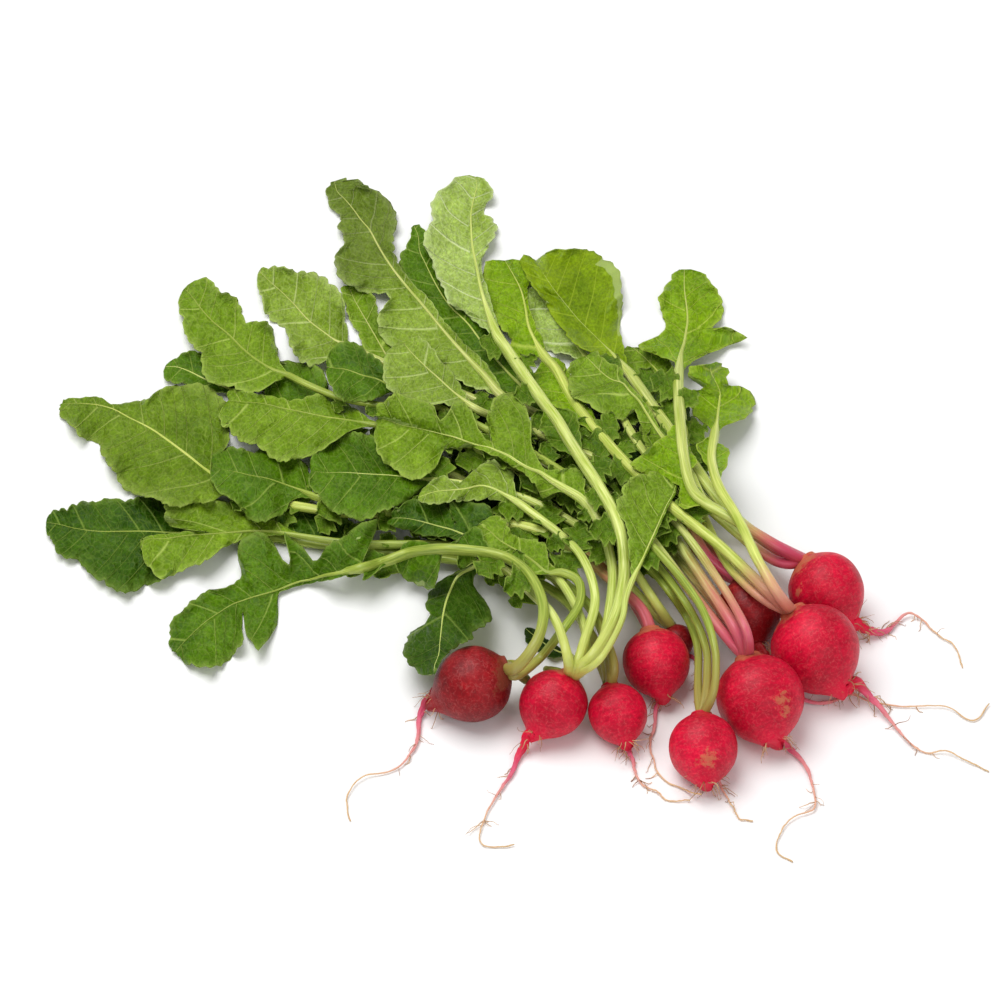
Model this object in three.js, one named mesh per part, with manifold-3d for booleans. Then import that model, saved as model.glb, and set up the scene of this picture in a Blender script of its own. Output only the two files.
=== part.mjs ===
// A bunch of ten radishes lying on its side, tops and all.
// Millimetres, +Z up. The bunch is laid out as it is looked at from the front, from above at
// VIEW_ANGLE: a route or outline point is [across, up] from the middle of that view, and onRay()
// sets it down on the table, or at a height above it. Each leaf is laid over those before it.
import * as THREE from 'three';
import Module from 'manifold-3d';

const wasm = await Module();
wasm.setup();

// sizes, mm
const VIEW_ANGLE = Math.PI / 4;
const VIEW_DISTANCE = 1400;
const BLADE_THICK = 0.75;
const GAP = 0.45;
const FLAT_DEPTH = 0.35;
const ROOT_TIP_RADIUS = 0.55;
const ROOT_NECK_SHARE = 0.2;
const ROOT_TAPER = 0.6;
const ROOT_DROP = 2;
const ROOT_LEAVES_AT = 0.8;
const TABLE_CLEAR = 1.02;
const BULB_SIDES = 12;
const CROWN_TILT = 0.35;
const CELL = 0.5;
const SAMPLE = 0.35;
const FIELD = { left: -190, bottom: -150, wide: 780, high: 600 };

// radishes: middle, largest radius and crown as seen, root from bulb to tip
const RADISHES = [
  { no: '10', at: [60.2, -47.6], radius: 5.3, crown: [56.8, -41.5], colour: 0x8e1f2b,
    root: [[65, -53], [67.5, -58], [67.5, -63], [66, -69]] },
  { no: '09', at: [84.4, -37.6], radius: 10.6, crown: [80.6, -27.4], colour: 0x8a1c2c,
    root: [[92, -56], [98, -65], [105, -68.5], [112, -68.5], [119, -66], [125, -68], [136, -70],
      [151, -70], [161, -75], [166, -69]] },
  { no: '08', at: [110.7, -30.4], radius: 12.4, crown: [101.5, -21.6], colour: 0xb3263c,
    root: [[121, -42], [125, -44], [129, -45], [132, -44], [135, -41], [139, -38], [144, -41],
      [149, -46], [154, -49], [157, -57]] },
  { no: '07', at: [106.9, -50.2], radius: 14.2, crown: [95.0, -36.6], colour: 0xc22440,
    root: [[121, -62], [124, -65], [128, -69], [132, -74], [136, -79], [140, -83], [145, -86],
      [151, -85], [160, -89], [166, -92]] },
  { no: '06', at: [88.2, -67.0], radius: 13.9, crown: [82.1, -52.9], colour: 0xd02c46,
    root: [[96, -75], [96, -80], [98, -84], [102, -88], [105, -93], [107, -102], [106, -105],
      [101, -107], [97, -110], [94, -119], [99, -123]] },
  { no: '05', at: [68.9, -84.0], radius: 11.0, crown: [67.8, -71.9], colour: 0xb92338,
    root: [[71, -91], [74, -95], [76, -99], [79, -104], [81, -108], [86, -109]] },
  { no: '03', at: [39.8, -72.2], radius: 9.5, crown: [35.9, -62.4], colour: 0xa8222f,
    root: [[43, -82], [44, -86], [45, -89], [46, -93], [49, -97], [53, -99], [57, -102], [64, -102]] },
  { no: '02', at: [18.0, -68.9], radius: 10.8, crown: [26.0, -59.0], colour: 0xc4203f,
    root: [[10, -79], [8, -83], [6, -87], [4, -92], [1, -97], [-3, -103], [-7, -114], [-6, -117],
      [-3, -118], [5, -117]] },
  { no: '01', at: [-9.2, -62.4], radius: 12.3, crown: [1.5, -59.7], colour: 0x8f1d28,
    root: [[-22, -65], [-25, -68], [-27, -72], [-29, -83], [-34, -90], [-38, -92], [-47, -94],
      [-52, -100], [-51, -109]] },
  { no: '04', at: [52.9, -54.7], radius: 10.9, crown: [49.8, -43.4], colour: 0xc9222f,
    root: [[55, -64.5], [54, -67.5], [53, -70], [52.5, -74], [52, -78], [51, -83], [52, -88], [54, -93],
      [58, -96.5], [63, -98.5], [68, -100]] },
];

// bulb outline: share of the radius along the axis from the root end to the crown, and across it
const BULB_PROFILE = [
  [-1.16, 0.24], [-1.0, 0.42], [-0.78, 0.68], [-0.45, 0.91], [-0.08, 1.0],
  [0.3, 0.965], [0.62, 0.8], [0.84, 0.55], [0.96, 0.36], [1.06, 0.3],
];

// leaves, lowest first: stalk thickness, how high the stalk starts, and the route from the crown to
// the tip, where [across, up, left across, left up, right across, right up] also gives both edges
const LEAVES = [
  { name: '2_f', stem: 2, base: 8,
    route: [[27, -56.5], [24.5, -53], [22.5, -52], [20, -51.5, 17.5, -53.5, 20.5, -50.5],
      [15.5, -49, 11.5, -51, 16, -47], [11.5, -46, 9, -48, 13, -44.5],
      [8.5, -43.5, 8, -44.5, 9.5, -43]] },
  { name: '10_a', stem: 3, base: 3,
    route: [[51.5, -38], [39.5, -24.5], [24.5, -13.5], [-20.5, 10.5], [-58, 24],
      [-64, 26.5, -65, 24, -59.5, 43], [-71, 29.5, -72, 27, -69, 47.5], [-76, 31.5, -77, 29, -79, 45],
      [-81, 33.5], [-87, 36, -89, 35, -86, 40.5], [-94.5, 39, -96.5, 37, -93.5, 47],
      [-101, 41.5, -103, 38, -101, 50.5], [-106, 44, -107.5, 39, -106.5, 50.5],
      [-110.5, 45.5, -112.5, 40.5, -110, 48.5], [-114, 45.5, -115, 42.5, -113, 47]] },
  { name: '9_a', stem: 3, base: 9,
    route: [[72.5, -24], [58.5, -7.5], [37, 17], [20, 29.5], [12, 34.5, 8, 31.5, 17, 38],
      [3, 43, -4, 37.5, 8, 47.5], [-5, 52, -13, 47, 0, 57], [-11, 60, -19, 56, -6, 64.5],
      [-17.5, 66.5, -24, 66, -14, 71], [-22, 73.5, -33, 75.5, -18.5, 75.5],
      [-25.5, 80.5, -34, 82.5, -22, 81], [-27.5, 85, -32.5, 86, -24.5, 86.5],
      [-28, 90, -31, 89, -25, 90], [-29.5, 93.5, -31, 92, -26.5, 94]] },
  { name: '4_b', stem: 3, base: 9,
    route: [[45.5, -34], [35, -23], [25.5, -16], [19, -11.5, 6.5, -20, 27.5, -5],
      [11.5, -6, -4, -15, 22, 3.5], [4, 0, -11, -6, 13.5, 10.5], [-3.5, 5, -13, 2, 3, 12.5],
      [-9, 8.5, -11.5, 5.5, -5.5, 11]] },
  { name: '6_f', stem: 3, base: 14,
    route: [[83, -48], [65, -25.5], [51, -7.5], [45.5, 0, 35, -5.5, 55, 6.5],
      [38, 9.5, 25.5, 2, 47.5, 18], [30.5, 18.5, 18.5, 11, 40, 26.5], [23.5, 26, 15, 20.5, 32, 33],
      [18, 32, 15, 29.5, 23, 35.5]] },
  { name: '9_d', stem: 3, base: 10,
    route: [[75.5, -21.5], [66.5, -8.5], [61.5, 0], [57, 7, 47, 4, 64.5, 12.5],
      [51, 16.5, 40, 11.5, 61.5, 23.5], [46, 24, 36, 18.5, 56.5, 31], [42, 31, 34.5, 27.5, 49, 36],
      [38, 36, 35, 34, 42, 39]] },
  { name: '8_e', stem: 3, base: 11,
    route: [[98.5, -20], [83, -10.5], [74.5, -4], [70, 1.5, 65, -2.5, 72.5, 5.5],
      [64, 9, 57, 5.5, 66.5, 12], [61.5, 16.5, 54, 15, 65.5, 19], [59.5, 24, 53.5, 24, 64.5, 26.5],
      [59.5, 31, 55.5, 31, 64, 33]] },
  { name: '3_c', stem: 3, base: 9,
    route: [[34, -55], [26.5, -38.5], [20, -28.5], [10, -19], [2, -12, -7, -17.5, 6.5, -6],
      [-7, -7.5, -20.5, -15, 0, 0], [-16.5, -2.5, -30, -10, -9, 5], [-26, 1.5, -35.5, -3, -19, 7],
      [-33.5, 4, -35.5, 1.5, -30, 7.5]] },
  { name: '10_b', stem: 3, base: 3,
    route: [[49, -35], [34, -17.5], [20, -4], [10, 5, 0.5, 0, 16, 11], [0, 14, -9.5, 7, 8.5, 22],
      [-8.5, 22, -18, 16, 0.5, 31], [-16.5, 30, -24, 26, -9, 37], [-22.5, 35, -24.5, 32, -18.5, 38]] },
  { name: '9_b', stem: 3, base: 9,
    route: [[70, -20], [58.5, 3.5], [46, 20.5], [36.5, 37], [30.5, 47], [25, 54, 20, 50, 26, 55],
      [19.5, 61.5, 14, 52.5, 20.5, 62.5], [14.5, 68.5, 10, 61.5, 15.5, 69.5],
      [9.5, 74.5, 8.5, 71, 10.5, 75.5]] },
  { name: '3_a', stem: 3.4, base: 9,
    route: [[36.5, -55.5], [21, -33], [-3.5, -22.5], [-49, -16.5], [-56, -15.5, -56.5, -17, -51, -6],
      [-64, -14.5, -64.5, -16, -63.5, -3], [-72, -13.3, -72.5, -14.8, -76, -4.5], [-79, -12.3],
      [-85, -11.5], [-94, -11], [-102, -11, -105, -21, -103.5, -2],
      [-111.5, -11, -117, -27.5, -113, 0.5], [-120.5, -10.5, -125.5, -31, -121, 1],
      [-128.5, -10.5, -134, -29, -129.5, 0.5], [-136.5, -10.5, -143, -21.5, -138.5, 0],
      [-144.5, -9.5, -150, -18, -145.5, -1.5], [-150.5, -8, -153.5, -13, -151.5, -3.5],
      [-154.5, -7.5, -154.5, -10, -154, -5.5]] },
  { name: '6_e', stem: 3, base: 14,
    route: [[80, -50], [61.5, -26.5], [36, -1], [-17, 29], [-30, 37.5],
      [-35.5, 44.5, -37.5, 41, -33, 49], [-39.5, 50.5, -44, 49, -35.5, 54],
      [-43.5, 57.5, -49, 57, -39.5, 60], [-47, 63.5, -52, 64, -42, 67], [-50, 69, -54, 69, -44.5, 71],
      [-51.5, 73, -54, 73, -48.5, 74.5]] },
  { name: '7_d', stem: 3.2, base: 15,
    route: [[89, -34], [77.5, -22], [70, -7.5], [64.5, 7], [62.5, 20.5], [61, 32.5],
      [58.5, 37, 52.5, 33, 60.5, 41], [55.5, 41.5, 47.5, 36, 59.5, 45.5],
      [52, 45.5, 44.5, 41.5, 55.5, 49], [48.5, 49, 40.5, 48, 52, 51.5], [45, 52, 41.5, 53, 48, 52]] },
  { name: '3_d', stem: 3, base: 9,
    route: [[38, -58.5], [30.5, -36], [-3.5, -17.5], [-53, -14.5],
      [-71.5, -11.5, -73, -12, -71.5, -10], [-79, -10.5, -80.5, -12, -83.5, -2],
      [-86.5, -10.5, -88.5, -13.5, -114, -1], [-92.5, -11, -96, -17.5, -113, -8],
      [-100, -11.5, -103, -22, -100, -10.5], [-107.5, -12, -111, -25, -107.5, -10.5],
      [-114, -13, -116, -26.5, -114, -11.5], [-119, -13, -120, -22.5, -119, -12],
      [-122.5, -14, -122.5, -17.5, -122.5, -13]] },
  { name: '4_a', stem: 3.4, base: 9,
    route: [[49, -37], [32.5, -23], [14, -10.5], [-17, -6], [-54.5, -4], [-76.5, -0.5], [-89, 3],
      [-95.5, 7, -100, -0.5, -97.5, 12], [-101, 11, -109.5, -2, -92.5, 20],
      [-106.5, 15.5, -119, 0.5, -93.5, 34], [-112.5, 20, -127.5, 4, -102, 39.5],
      [-119, 24.5, -132, 10, -113.5, 38.5], [-126, 28, -136, 17, -122.5, 34],
      [-131.5, 31, -138, 19.5, -132, 33], [-137, 32.5, -143.5, 22.5, -136, 35],
      [-143, 33, -149, 28.5, -143.5, 35], [-149, 33, -150.5, 32, -148.5, 35]] },
  { name: '3_b', stem: 3, base: 9,
    route: [[39.5, -55.5], [27, -32.5], [-10.5, -11.5], [-53, -1], [-63.5, 1.5],
      [-68, 3.5, -71, 0, -65.5, 11], [-73.5, 5.5, -73.5, -4, -71.5, 16.5],
      [-79.5, 7.5, -79, -7, -77.5, 19.5], [-85, 8.5, -86, -6, -84, 17],
      [-89, 9.5, -91.5, 1, -88, 17.5], [-94, 10.5, -97, 3.5, -95, 18],
      [-98, 11.5, -99, 9, -98.5, 14.5]] },
  { name: '10_c', stem: 3.2, base: 3,
    route: [[53, -35], [41.5, -19], [10, 0], [-13, 5.5], [-22, 6.5], [-29, 7.5, -31.5, 0, -28.5, 14.5],
      [-37, 8.5, -39, -3.5, -38, 20], [-45, 9, -47, -6.5, -48, 23.5],
      [-53, 9.5, -55.5, -4.5, -56, 21.5], [-59.5, 9.5, -62, 1, -61.5, 18.5],
      [-64.5, 10, -65.5, 6.5, -65, 13]] },
  { name: '5_a', stem: 2.6, base: 12,
    route: [[67, -67], [66.5, -47.5], [57, -30.5], [25.5, 0], [-17, 20.5], [-34, 24], [-41.5, 25.5],
      [-47, 26.5, -50.5, 24, -45.5, 28.5], [-53, 27.5, -58.5, 18.5, -54.5, 34],
      [-60, 28.5, -67, 14.5, -61.5, 36], [-67, 30, -74.5, 13, -68, 34.5],
      [-74.5, 31.5, -81.5, 17.5, -74.5, 35], [-81, 33, -88.5, 20.5, -82, 36],
      [-87.5, 33.5, -94, 25, -88.5, 38], [-92.5, 34, -96, 30, -93.5, 37.5]] },
  { name: '5_b', stem: 2.6, base: 12,
    route: [[70, -66.5], [70, -51], [62.5, -34], [34, -3], [-20.5, 27.5], [-54.5, 35], [-67, 40],
      [-72, 42.5], [-77.5, 44.5, -83, 37, -75.5, 48], [-82.5, 47.5, -91.5, 38, -76, 53.5],
      [-87.5, 51.5, -100, 41.5, -79.5, 60.5], [-92.5, 56.5, -102.5, 49.5, -86, 61.5],
      [-98, 61, -105.5, 54, -90, 68.5], [-102, 65.5, -108.5, 61, -95.5, 72],
      [-105, 69.5, -109.5, 66.5, -100.5, 75.5], [-107.5, 72, -108.5, 70.5, -105, 74.5]] },
  { name: '6_a', stem: 3.2, base: 14,
    route: [[77.5, -47.5], [66, -32.5], [40.5, -1], [0, 30], [-34, 44.5], [-47, 50], [-52, 52.5],
      [-55.5, 54, -60.5, 47, -52, 58], [-60.5, 57.5, -66, 45.5, -53.5, 68],
      [-65.5, 61.5, -71, 52, -58, 75], [-70, 66.5, -73.5, 57.5, -65.5, 77.5],
      [-74.5, 71, -79.5, 63.5, -72.5, 79], [-78.5, 74.5, -82, 71, -78, 79.5],
      [-82, 78, -83, 76, -81, 79.5]] },
  { name: '5_c', stem: 2.6, base: 12,
    route: [[73, -66], [73, -51.5], [68, -36], [51, -15], [20, 10.5], [-17, 30], [-35.5, 37.5],
      [-41.5, 41, -42, 35, -40.5, 46.5], [-47, 42.5, -47, 33, -45.5, 51.5],
      [-52.5, 44.5, -54, 34.5, -52, 54], [-56.5, 45, -58.5, 39.5, -57, 52],
      [-59, 45.5, -59.5, 43, -59.5, 49]] },
  { name: '6_b', stem: 3.8, base: 14,
    route: [[81.5, -45.5], [69, -27], [49, 2], [20, 25.5], [2.5, 34], [0, 36],
      [-5.5, 42.5, -10.5, 39, -2, 43], [-13, 50.5, -22, 45.5, -8.5, 50],
      [-20, 58.5, -35, 50.5, -17, 58.5], [-26.5, 66.5, -42.5, 60.5, -23.5, 67.5],
      [-32.5, 73.5, -38, 69, -30, 74.5], [-37.5, 80, -50.5, 72, -34, 79],
      [-41.5, 86.5, -57, 81, -35.5, 84], [-44.5, 92, -53, 88, -36.5, 90.5],
      [-47.5, 95.5, -55.5, 92.5, -34.5, 95], [-50, 99, -54, 96.5, -37, 100],
      [-53, 102.5, -58.5, 100, -42.5, 106], [-55.5, 105, -59.5, 104, -47, 108],
      [-56.5, 108.5, -58.5, 108, -50, 110.5]] },
  { name: '6_c', stem: 2.8, base: 14,
    route: [[85, -45.5], [74, -27], [54, -1.5], [27, 17], [0, 27.5], [-9, 31.5],
      [-15, 36, -20, 32.5, -12.5, 37], [-20.5, 41, -29.5, 33, -17, 44],
      [-25.5, 45.5, -37, 37, -21.5, 50], [-30, 50, -40.5, 44.5, -25, 53.5],
      [-33, 53.5, -38, 52, -28.5, 56.5]] },
  { name: '2_d', stem: 3, base: 11,
    route: [[30, -57.5], [28.5, -44], [24.5, -34], [16, -22.5], [6.5, -17.5],
      [0, -16, -2, -18, 0, -13.5], [-4, -14.5, -6.5, -16, -3.5, -2.5], [-9, -13, -11.5, -14, -16.5, 0],
      [-14, -11, -16, -13.5, -17, -4], [-16.5, -10, -19, -12.5, -15, -7],
      [-22, -8.5, -24.5, -12, -18, -2], [-27.5, -7, -30.5, -11, -24.5, 0],
      [-33, -6, -35.5, -9, -31, 0], [-37, -6, -39, -7.5, -37, -3]] },
  { name: '7_c', stem: 4, base: 16,
    route: [[92, -32], [75.5, -16], [57, -1], [42.5, 13], [34, 22.5], [25.5, 33, 20, 30, 28, 36.5],
      [19, 44.5, 10.5, 39.5, 21, 47], [15, 49], [12, 54, 2, 49, 14, 55.5],
      [9.5, 59.5, 3.5, 55.5, 11.5, 61], [8.5, 65.5, -2, 60.5, 9.5, 66], [7, 71.5, -5.5, 69, 9.5, 72],
      [4.5, 76.5, -6.5, 76.5, 10, 77.5], [1.5, 81.5, -5, 82, 6.5, 82.5]] },
  { name: '8_b', stem: 4, base: 12,
    route: [[97, -19], [78, -4], [57.5, 24], [47.5, 38], [43.5, 43.5], [38, 50, 30.5, 50, 41.5, 53],
      [32.5, 55.5, 22.5, 56, 41, 63.5], [27, 61, 17, 64, 41.5, 72], [22, 67, 12.5, 71, 39, 79.5],
      [18, 72, 8.5, 76.5, 33, 84], [15, 76.5, 6.5, 80.5, 25.5, 85.5], [12, 81.5, 8.5, 84, 18, 86]] },
  { name: '1_b', stem: 3, base: 13,
    route: [[4, -61.5], [13, -54], [21, -44], [27, -34.5], [26.5, -27.5], [21, -24.5],
      [16, -24.5, 12, -25, 17.5, -22.5], [11.5, -21, 6.5, -22.5, 15.5, -15.5],
      [6.5, -17.5, 3, -19, 10, -13], [2, -15, 0, -17, 4, -11.5], [-1, -13, -4.5, -16, 2.5, -9],
      [-3.5, -10.5, -7, -13.5, 1.5, -5.5], [-6.5, -9, -11.5, -15, -3, -5.5],
      [-9.5, -10, -12, -13, -7.5, -8]] },
  { name: '2_b', stem: 3.2, base: 11,
    route: [[26, -57], [28.5, -47.5], [32, -35.5], [31, -27], [27, -18.5], [20, -11.5], [11.5, -5],
      [6, -1], [2, 1.5, -1, 0, 4.5, 6], [-2.5, 4, -6.5, 0, 4, 9.5], [-7, 5, -11.5, 0, -2.5, 14],
      [-11.5, 4, -15.5, -0.5, -8.5, 10.5], [-16.5, 3.5, -18, -1, -14, 6.5],
      [-22, 3, -23.5, -1, -20.5, 8], [-25.5, 2, -26.5, -1, -24, 6.5],
      [-28, 1, -28, -0.5, -27.5, 2.5]] },
  { name: '2_c', stem: 3.4, base: 11,
    route: [[33, -55], [36, -42.5], [38, -23.5], [34.5, -10], [28.5, -0.5], [21, 4.5, 20, 3, 27.5, 11],
      [17, 7, 14, 1, 21, 10.5], [13.5, 9.5, 11, 5.5, 15, 11], [9.5, 11, 8, 9.5, 11, 18],
      [6, 13, 4, 11.5, 10, 27.5], [3, 15, 1.5, 13, 6, 36], [1, 16, -0.5, 14.5, -2.5, 34.5],
      [-1.5, 17, -3, 15.5, -4.5, 27], [-4, 18, -6, 17, -3, 20], [-8.5, 19, -10.5, 18, -7, 23],
      [-11.5, 20, -14, 18, -9.5, 30], [-15.5, 21.5, -19, 17.5, -15, 34],
      [-19.5, 22.5, -22, 11.5, -20.5, 27], [-23.5, 23.5, -26.5, 7.5, -23.5, 33.5],
      [-28, 24.5, -33.5, 8.5, -31, 35], [-33, 25.5, -39.5, 13, -36.5, 36.5],
      [-37.5, 27, -42.5, 19.5, -41, 33], [-41.5, 28, -43.5, 25, -43, 30.5]] },
  { name: '2_a', stem: 4.4, base: 11,
    route: [[30, -55.5], [35, -47.5], [39.5, -37], [42, -23.5], [40, -8.5], [34, 3.5], [27, 14.5],
      [22.5, 21.5, 17, 19, 27, 26], [19, 27.5, 13.5, 24, 25, 30], [15.5, 32], [8, 42.5], [1.5, 52],
      [-1, 55.5], [-4, 63, -8, 60.5, -2, 64], [-6.5, 71, -17.5, 67.5, -4.5, 72],
      [-8, 78.5, -22, 77.5, -6.5, 81.5], [-9.5, 86, -26, 88, -3, 87.5],
      [-10, 92, -24, 94.5, -1.5, 93.5], [-10, 98, -23.5, 100.5, -5.5, 99.5],
      [-9, 103, -20, 106, -2.5, 104], [-8, 107, -15.5, 109.5, -3.5, 108],
      [-8.5, 110, -12, 111, -6.5, 110]] },
  { name: '2_e', stem: 3, base: 11,
    route: [[23.5, -55.5], [21, -46], [17, -38], [11.5, -32.5], [5, -26.5], [0, -22.5], [-5.5, -21],
      [-11.5, -23.5, -9.5, -27.5, -13.5, -23.5], [-15, -26.5, -4.5, -35.5, -19.5, -26.5],
      [-17, -30.5, -3, -41.5, -23.5, -31], [-18.5, -34.5, -9.5, -44.5, -25.5, -36],
      [-19.5, -39, -9.5, -47.5, -25, -41], [-20, -43.5, -13, -49, -31, -45.5],
      [-20.5, -48, -16.5, -50.5, -33, -49.5], [-21, -52.5, -19, -53, -32, -54.5],
      [-22.5, -56.5, -21, -56.5, -27.5, -59], [-22.5, -59, -22.5, -59.5, -24.5, -59.5]] },
  { name: '1_a', stem: 3.8, base: 13,
    route: [[4, -58.5], [10, -52], [14, -42.5], [14, -34], [9.5, -25], [3, -20], [-3.5, -18],
      [-11.5, -17, -12.5, -18, -7.5, -9], [-19, -16.5], [-25.5, -17, -23.5, -30.5, -26, -14],
      [-31.5, -18, -33.5, -25.5, -32.5, -14.5], [-37, -20], [-41.5, -21.5, -46.5, -27, -43.5, -16.5],
      [-47, -23], [-52, -24, -53, -25.5, -41.5, -6], [-55.5, -25, -56, -26.5, -53, -11.5],
      [-59.5, -25.5, -60, -27.5, -59.5, -16.5], [-65, -27, -65.5, -28.5, -62.5, -20],
      [-68, -27.5, -69, -29, -73.5, -10.5], [-71, -28.5, -72, -30, -71.5, -20],
      [-74.5, -30, -75.5, -31.5, -73.5, -20.5], [-77.5, -31, -76, -42, -81, -10.5],
      [-81, -32, -82.5, -50.5, -89.5, -15.5], [-84.5, -33, -86.5, -45.5, -88, -26],
      [-87.5, -34, -87.5, -38, -91.5, -28.5], [-91.5, -35.5, -88, -43.5, -99.5, -30.5],
      [-95.5, -38, -87.5, -48.5, -102.5, -33], [-100, -41, -92.5, -54.5, -107.5, -36],
      [-104, -44.5, -99.5, -56.5, -111.5, -41], [-107.5, -48, -105.5, -56.5, -113, -47],
      [-110.5, -51.5, -109, -54, -112.5, -51]] },
  { name: '8_c', stem: 3.4, base: 12,
    route: [[95, -22.5], [81, -11.5], [69, 0], [64.5, 9], [61, 13.5], [57, 19, 51.5, 16, 58.5, 19.5],
      [53, 24.5, 48, 22.5, 54, 25], [49.5, 30, 45.5, 31, 51, 30.5], [47, 34, 41, 27, 48, 35],
      [44, 37, 31, 32, 45, 38], [41.5, 40, 24.5, 35.5, 42.5, 41.5], [38, 41, 23.5, 38, 41.5, 44.5],
      [34.5, 43.5, 23, 41, 36, 47.5], [31, 47, 22.5, 44.5, 34.5, 50], [29, 49, 25, 48, 32, 51]] },
  { name: '8_d', stem: 3.8, base: 12,
    route: [[94.5, -16], [79.5, -6.5], [70, -1], [66, 2.5, 61.5, -2.5, 67.5, 4],
      [64, 7, 60, 5, 64.5, 8], [63, 11, 51, 7.5, 65, 10.5], [62.5, 14, 44.5, 12.5, 67, 14],
      [62, 17, 49.5, 17, 65, 16.5], [61, 27.5], [60.5, 37.5], [60.5, 43], [61, 47, 59, 47, 65, 47],
      [61.5, 50.5, 54, 49, 73.5, 51], [62.5, 53.5, 46.5, 52, 83.5, 55.5], [63, 57, 53, 56, 76, 59],
      [63.5, 60, 56.5, 59.5, 72, 57.5], [63.5, 64, 54.5, 64, 75.5, 63], [63, 68, 53.5, 67.5, 75, 68],
      [62.5, 72.5, 56, 72.5, 73.5, 72], [62.5, 76.5, 58, 76.5, 70, 76.5],
      [62.5, 78.5, 60, 78.5, 66, 78.5]] },
  { name: '7_e', stem: 3.6, base: 16,
    route: [[94.5, -32.5], [87.5, -20], [81, -6.5], [74, 5.5], [72, 13, 70.5, 11.5, 77, 13],
      [72, 16.5, 66.5, 18, 77, 18], [72.5, 20, 69, 20.5, 73.5, 20], [73, 23],
      [73.5, 26, 69, 26.5, 76.5, 25.5], [74, 30, 65, 30, 82.5, 28], [74.5, 34, 64, 36, 87, 32],
      [74.5, 37, 68, 38.5, 83, 38.5], [73, 40.5, 64.5, 42, 77, 39.5],
      [71.5, 43.5, 64, 45.5, 77.5, 44.5], [71.5, 46.5, 68.5, 46, 74.5, 47.5]] },
  { name: '2_g', stem: 2.2, base: 12,
    route: [[33, -56.5], [37.5, -48.5], [41.5, -39.5], [42.5, -33], [45, -26.5],
      [48, -20.5, 43.5, -20, 49, -20], [50, -16, 43.5, -11.5, 51, -15.5],
      [52.5, -10.5, 40.5, -4.5, 53.5, -10.5], [54.5, -6, 39.5, 0, 55.5, -5.5],
      [56.5, -1.5, 42.5, 5.5, 57.5, -1], [58.5, 2, 48, 9.5, 59.5, 2.5], [59.5, 5, 54.5, 9.5, 60, 5]] },
];

function rest(radish) {
  return radish.radius - FLAT_DEPTH;
}

// the point of the table frame at height z that shows at [a, b] of the view
function onRay(a, b, z) {
  const s = Math.sin(VIEW_ANGLE);
  const c = Math.cos(VIEW_ANGLE);
  const D = VIEW_DISTANCE;
  const y = (b * (D - z * s) - z * c * D) / (D * s - b * c);
  const near = z * s - y * c;
  return new THREE.Vector3((a * (D - near)) / D, y, z);
}

// where a point of the table frame shows in the view
function shown(p) {
  const s = Math.sin(VIEW_ANGLE);
  const c = Math.cos(VIEW_ANGLE);
  const scale = VIEW_DISTANCE / (VIEW_DISTANCE - p.z * s + p.y * c);
  return [p.x * scale, (p.y * s + p.z * c) * scale];
}

// the origin lies in the flat that the carrier stands on, a little off below its middle
const FOOT = { x: -0.8, y: -1.4 };
const carrier = RADISHES.find((radish) => radish.no === '06');
const ORIGIN = onRay(carrier.at[0], carrier.at[1], rest(carrier)).setZ(0)
  .add(new THREE.Vector3(FOOT.x, FOOT.y, 0));

// heap: how high the bunch stands along each ray of the view
const heap = new Float32Array(FIELD.wide * FIELD.high).fill(-GAP);

function cellOf(a, b) {
  const i = Math.floor((a - FIELD.left) / CELL);
  const j = Math.floor((b - FIELD.bottom) / CELL);
  return [i, j];
}

function heapAt(a, b) {
  const [i, j] = cellOf(a, b);
  return heap[j * FIELD.wide + i];
}

function raiseHeap(a, b, z) {
  const [i, j] = cellOf(a, b);
  for (let dj = -1; dj <= 1; dj += 1) {
    for (let di = -1; di <= 1; di += 1) {
      const k = (j + dj) * FIELD.wide + i + di;
      heap[k] = Math.max(heap[k], z);
    }
  }
}

// calls visit(a, b, z) over a triangle, closely enough to miss no cell
function sweepTriangle(p, q, r, visit) {
  const longest = Math.max(p.distanceTo(q), q.distanceTo(r), r.distanceTo(p));
  const n = Math.max(1, Math.ceil(longest / SAMPLE));
  const point = new THREE.Vector3();
  for (let i = 0; i <= n; i += 1) {
    for (let j = 0; j <= n - i; j += 1) {
      const u = i / n;
      const v = j / n;
      point.copy(p).multiplyScalar(1 - u - v).addScaledVector(q, u).addScaledVector(r, v);
      const [a, b] = shown(point);
      visit(a, b, point.z);
    }
  }
}

function addToHeap(solid) {
  for (const [i, j, k] of solid.faces) {
    sweepTriangle(solid.points[i], solid.points[j], solid.points[k], raiseHeap);
  }
}

// points along a smooth curve through the given ones, at the given shares of its length
function along(points, shares) {
  const curve = new THREE.CatmullRomCurve3(points, false, 'centripetal');
  curve.arcLengthDivisions = 400;
  return shares.map((share) => ({ p: curve.getPointAt(share), t: curve.getTangentAt(share) }));
}

function spread(from, to, count) {
  return Array.from({ length: count }, (_, i) => from + ((to - from) * i) / (count - 1));
}

// closes a stack of rings, all with the same number of points, into one solid
function skin(rings) {
  const sides = rings[0].length;
  const points = rings.flat();
  const faces = [];
  for (let i = 0; i + 1 < rings.length; i += 1) {
    for (let j = 0; j < sides; j += 1) {
      const k = (j + 1) % sides;
      const a = i * sides + j;
      const b = i * sides + k;
      faces.push([a, b, b + sides], [a, b + sides, a + sides]);
    }
  }
  const last = (rings.length - 1) * sides;
  for (let j = 1; j + 1 < sides; j += 1) {
    faces.push([0, j + 1, j], [last, last + j, last + j + 1]);
  }
  return { points, faces };
}

function volumeOf(solid) {
  return solid.faces.reduce((sum, [i, j, k]) => {
    const [p, q, r] = [solid.points[i], solid.points[j], solid.points[k]];
    return sum + p.dot(q.clone().cross(r)) / 6;
  }, 0);
}

function outward(solid) {
  if (volumeOf(solid) < 0) {
    solid.faces = solid.faces.map(([i, j, k]) => [i, k, j]);
  }
  return solid;
}

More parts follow.
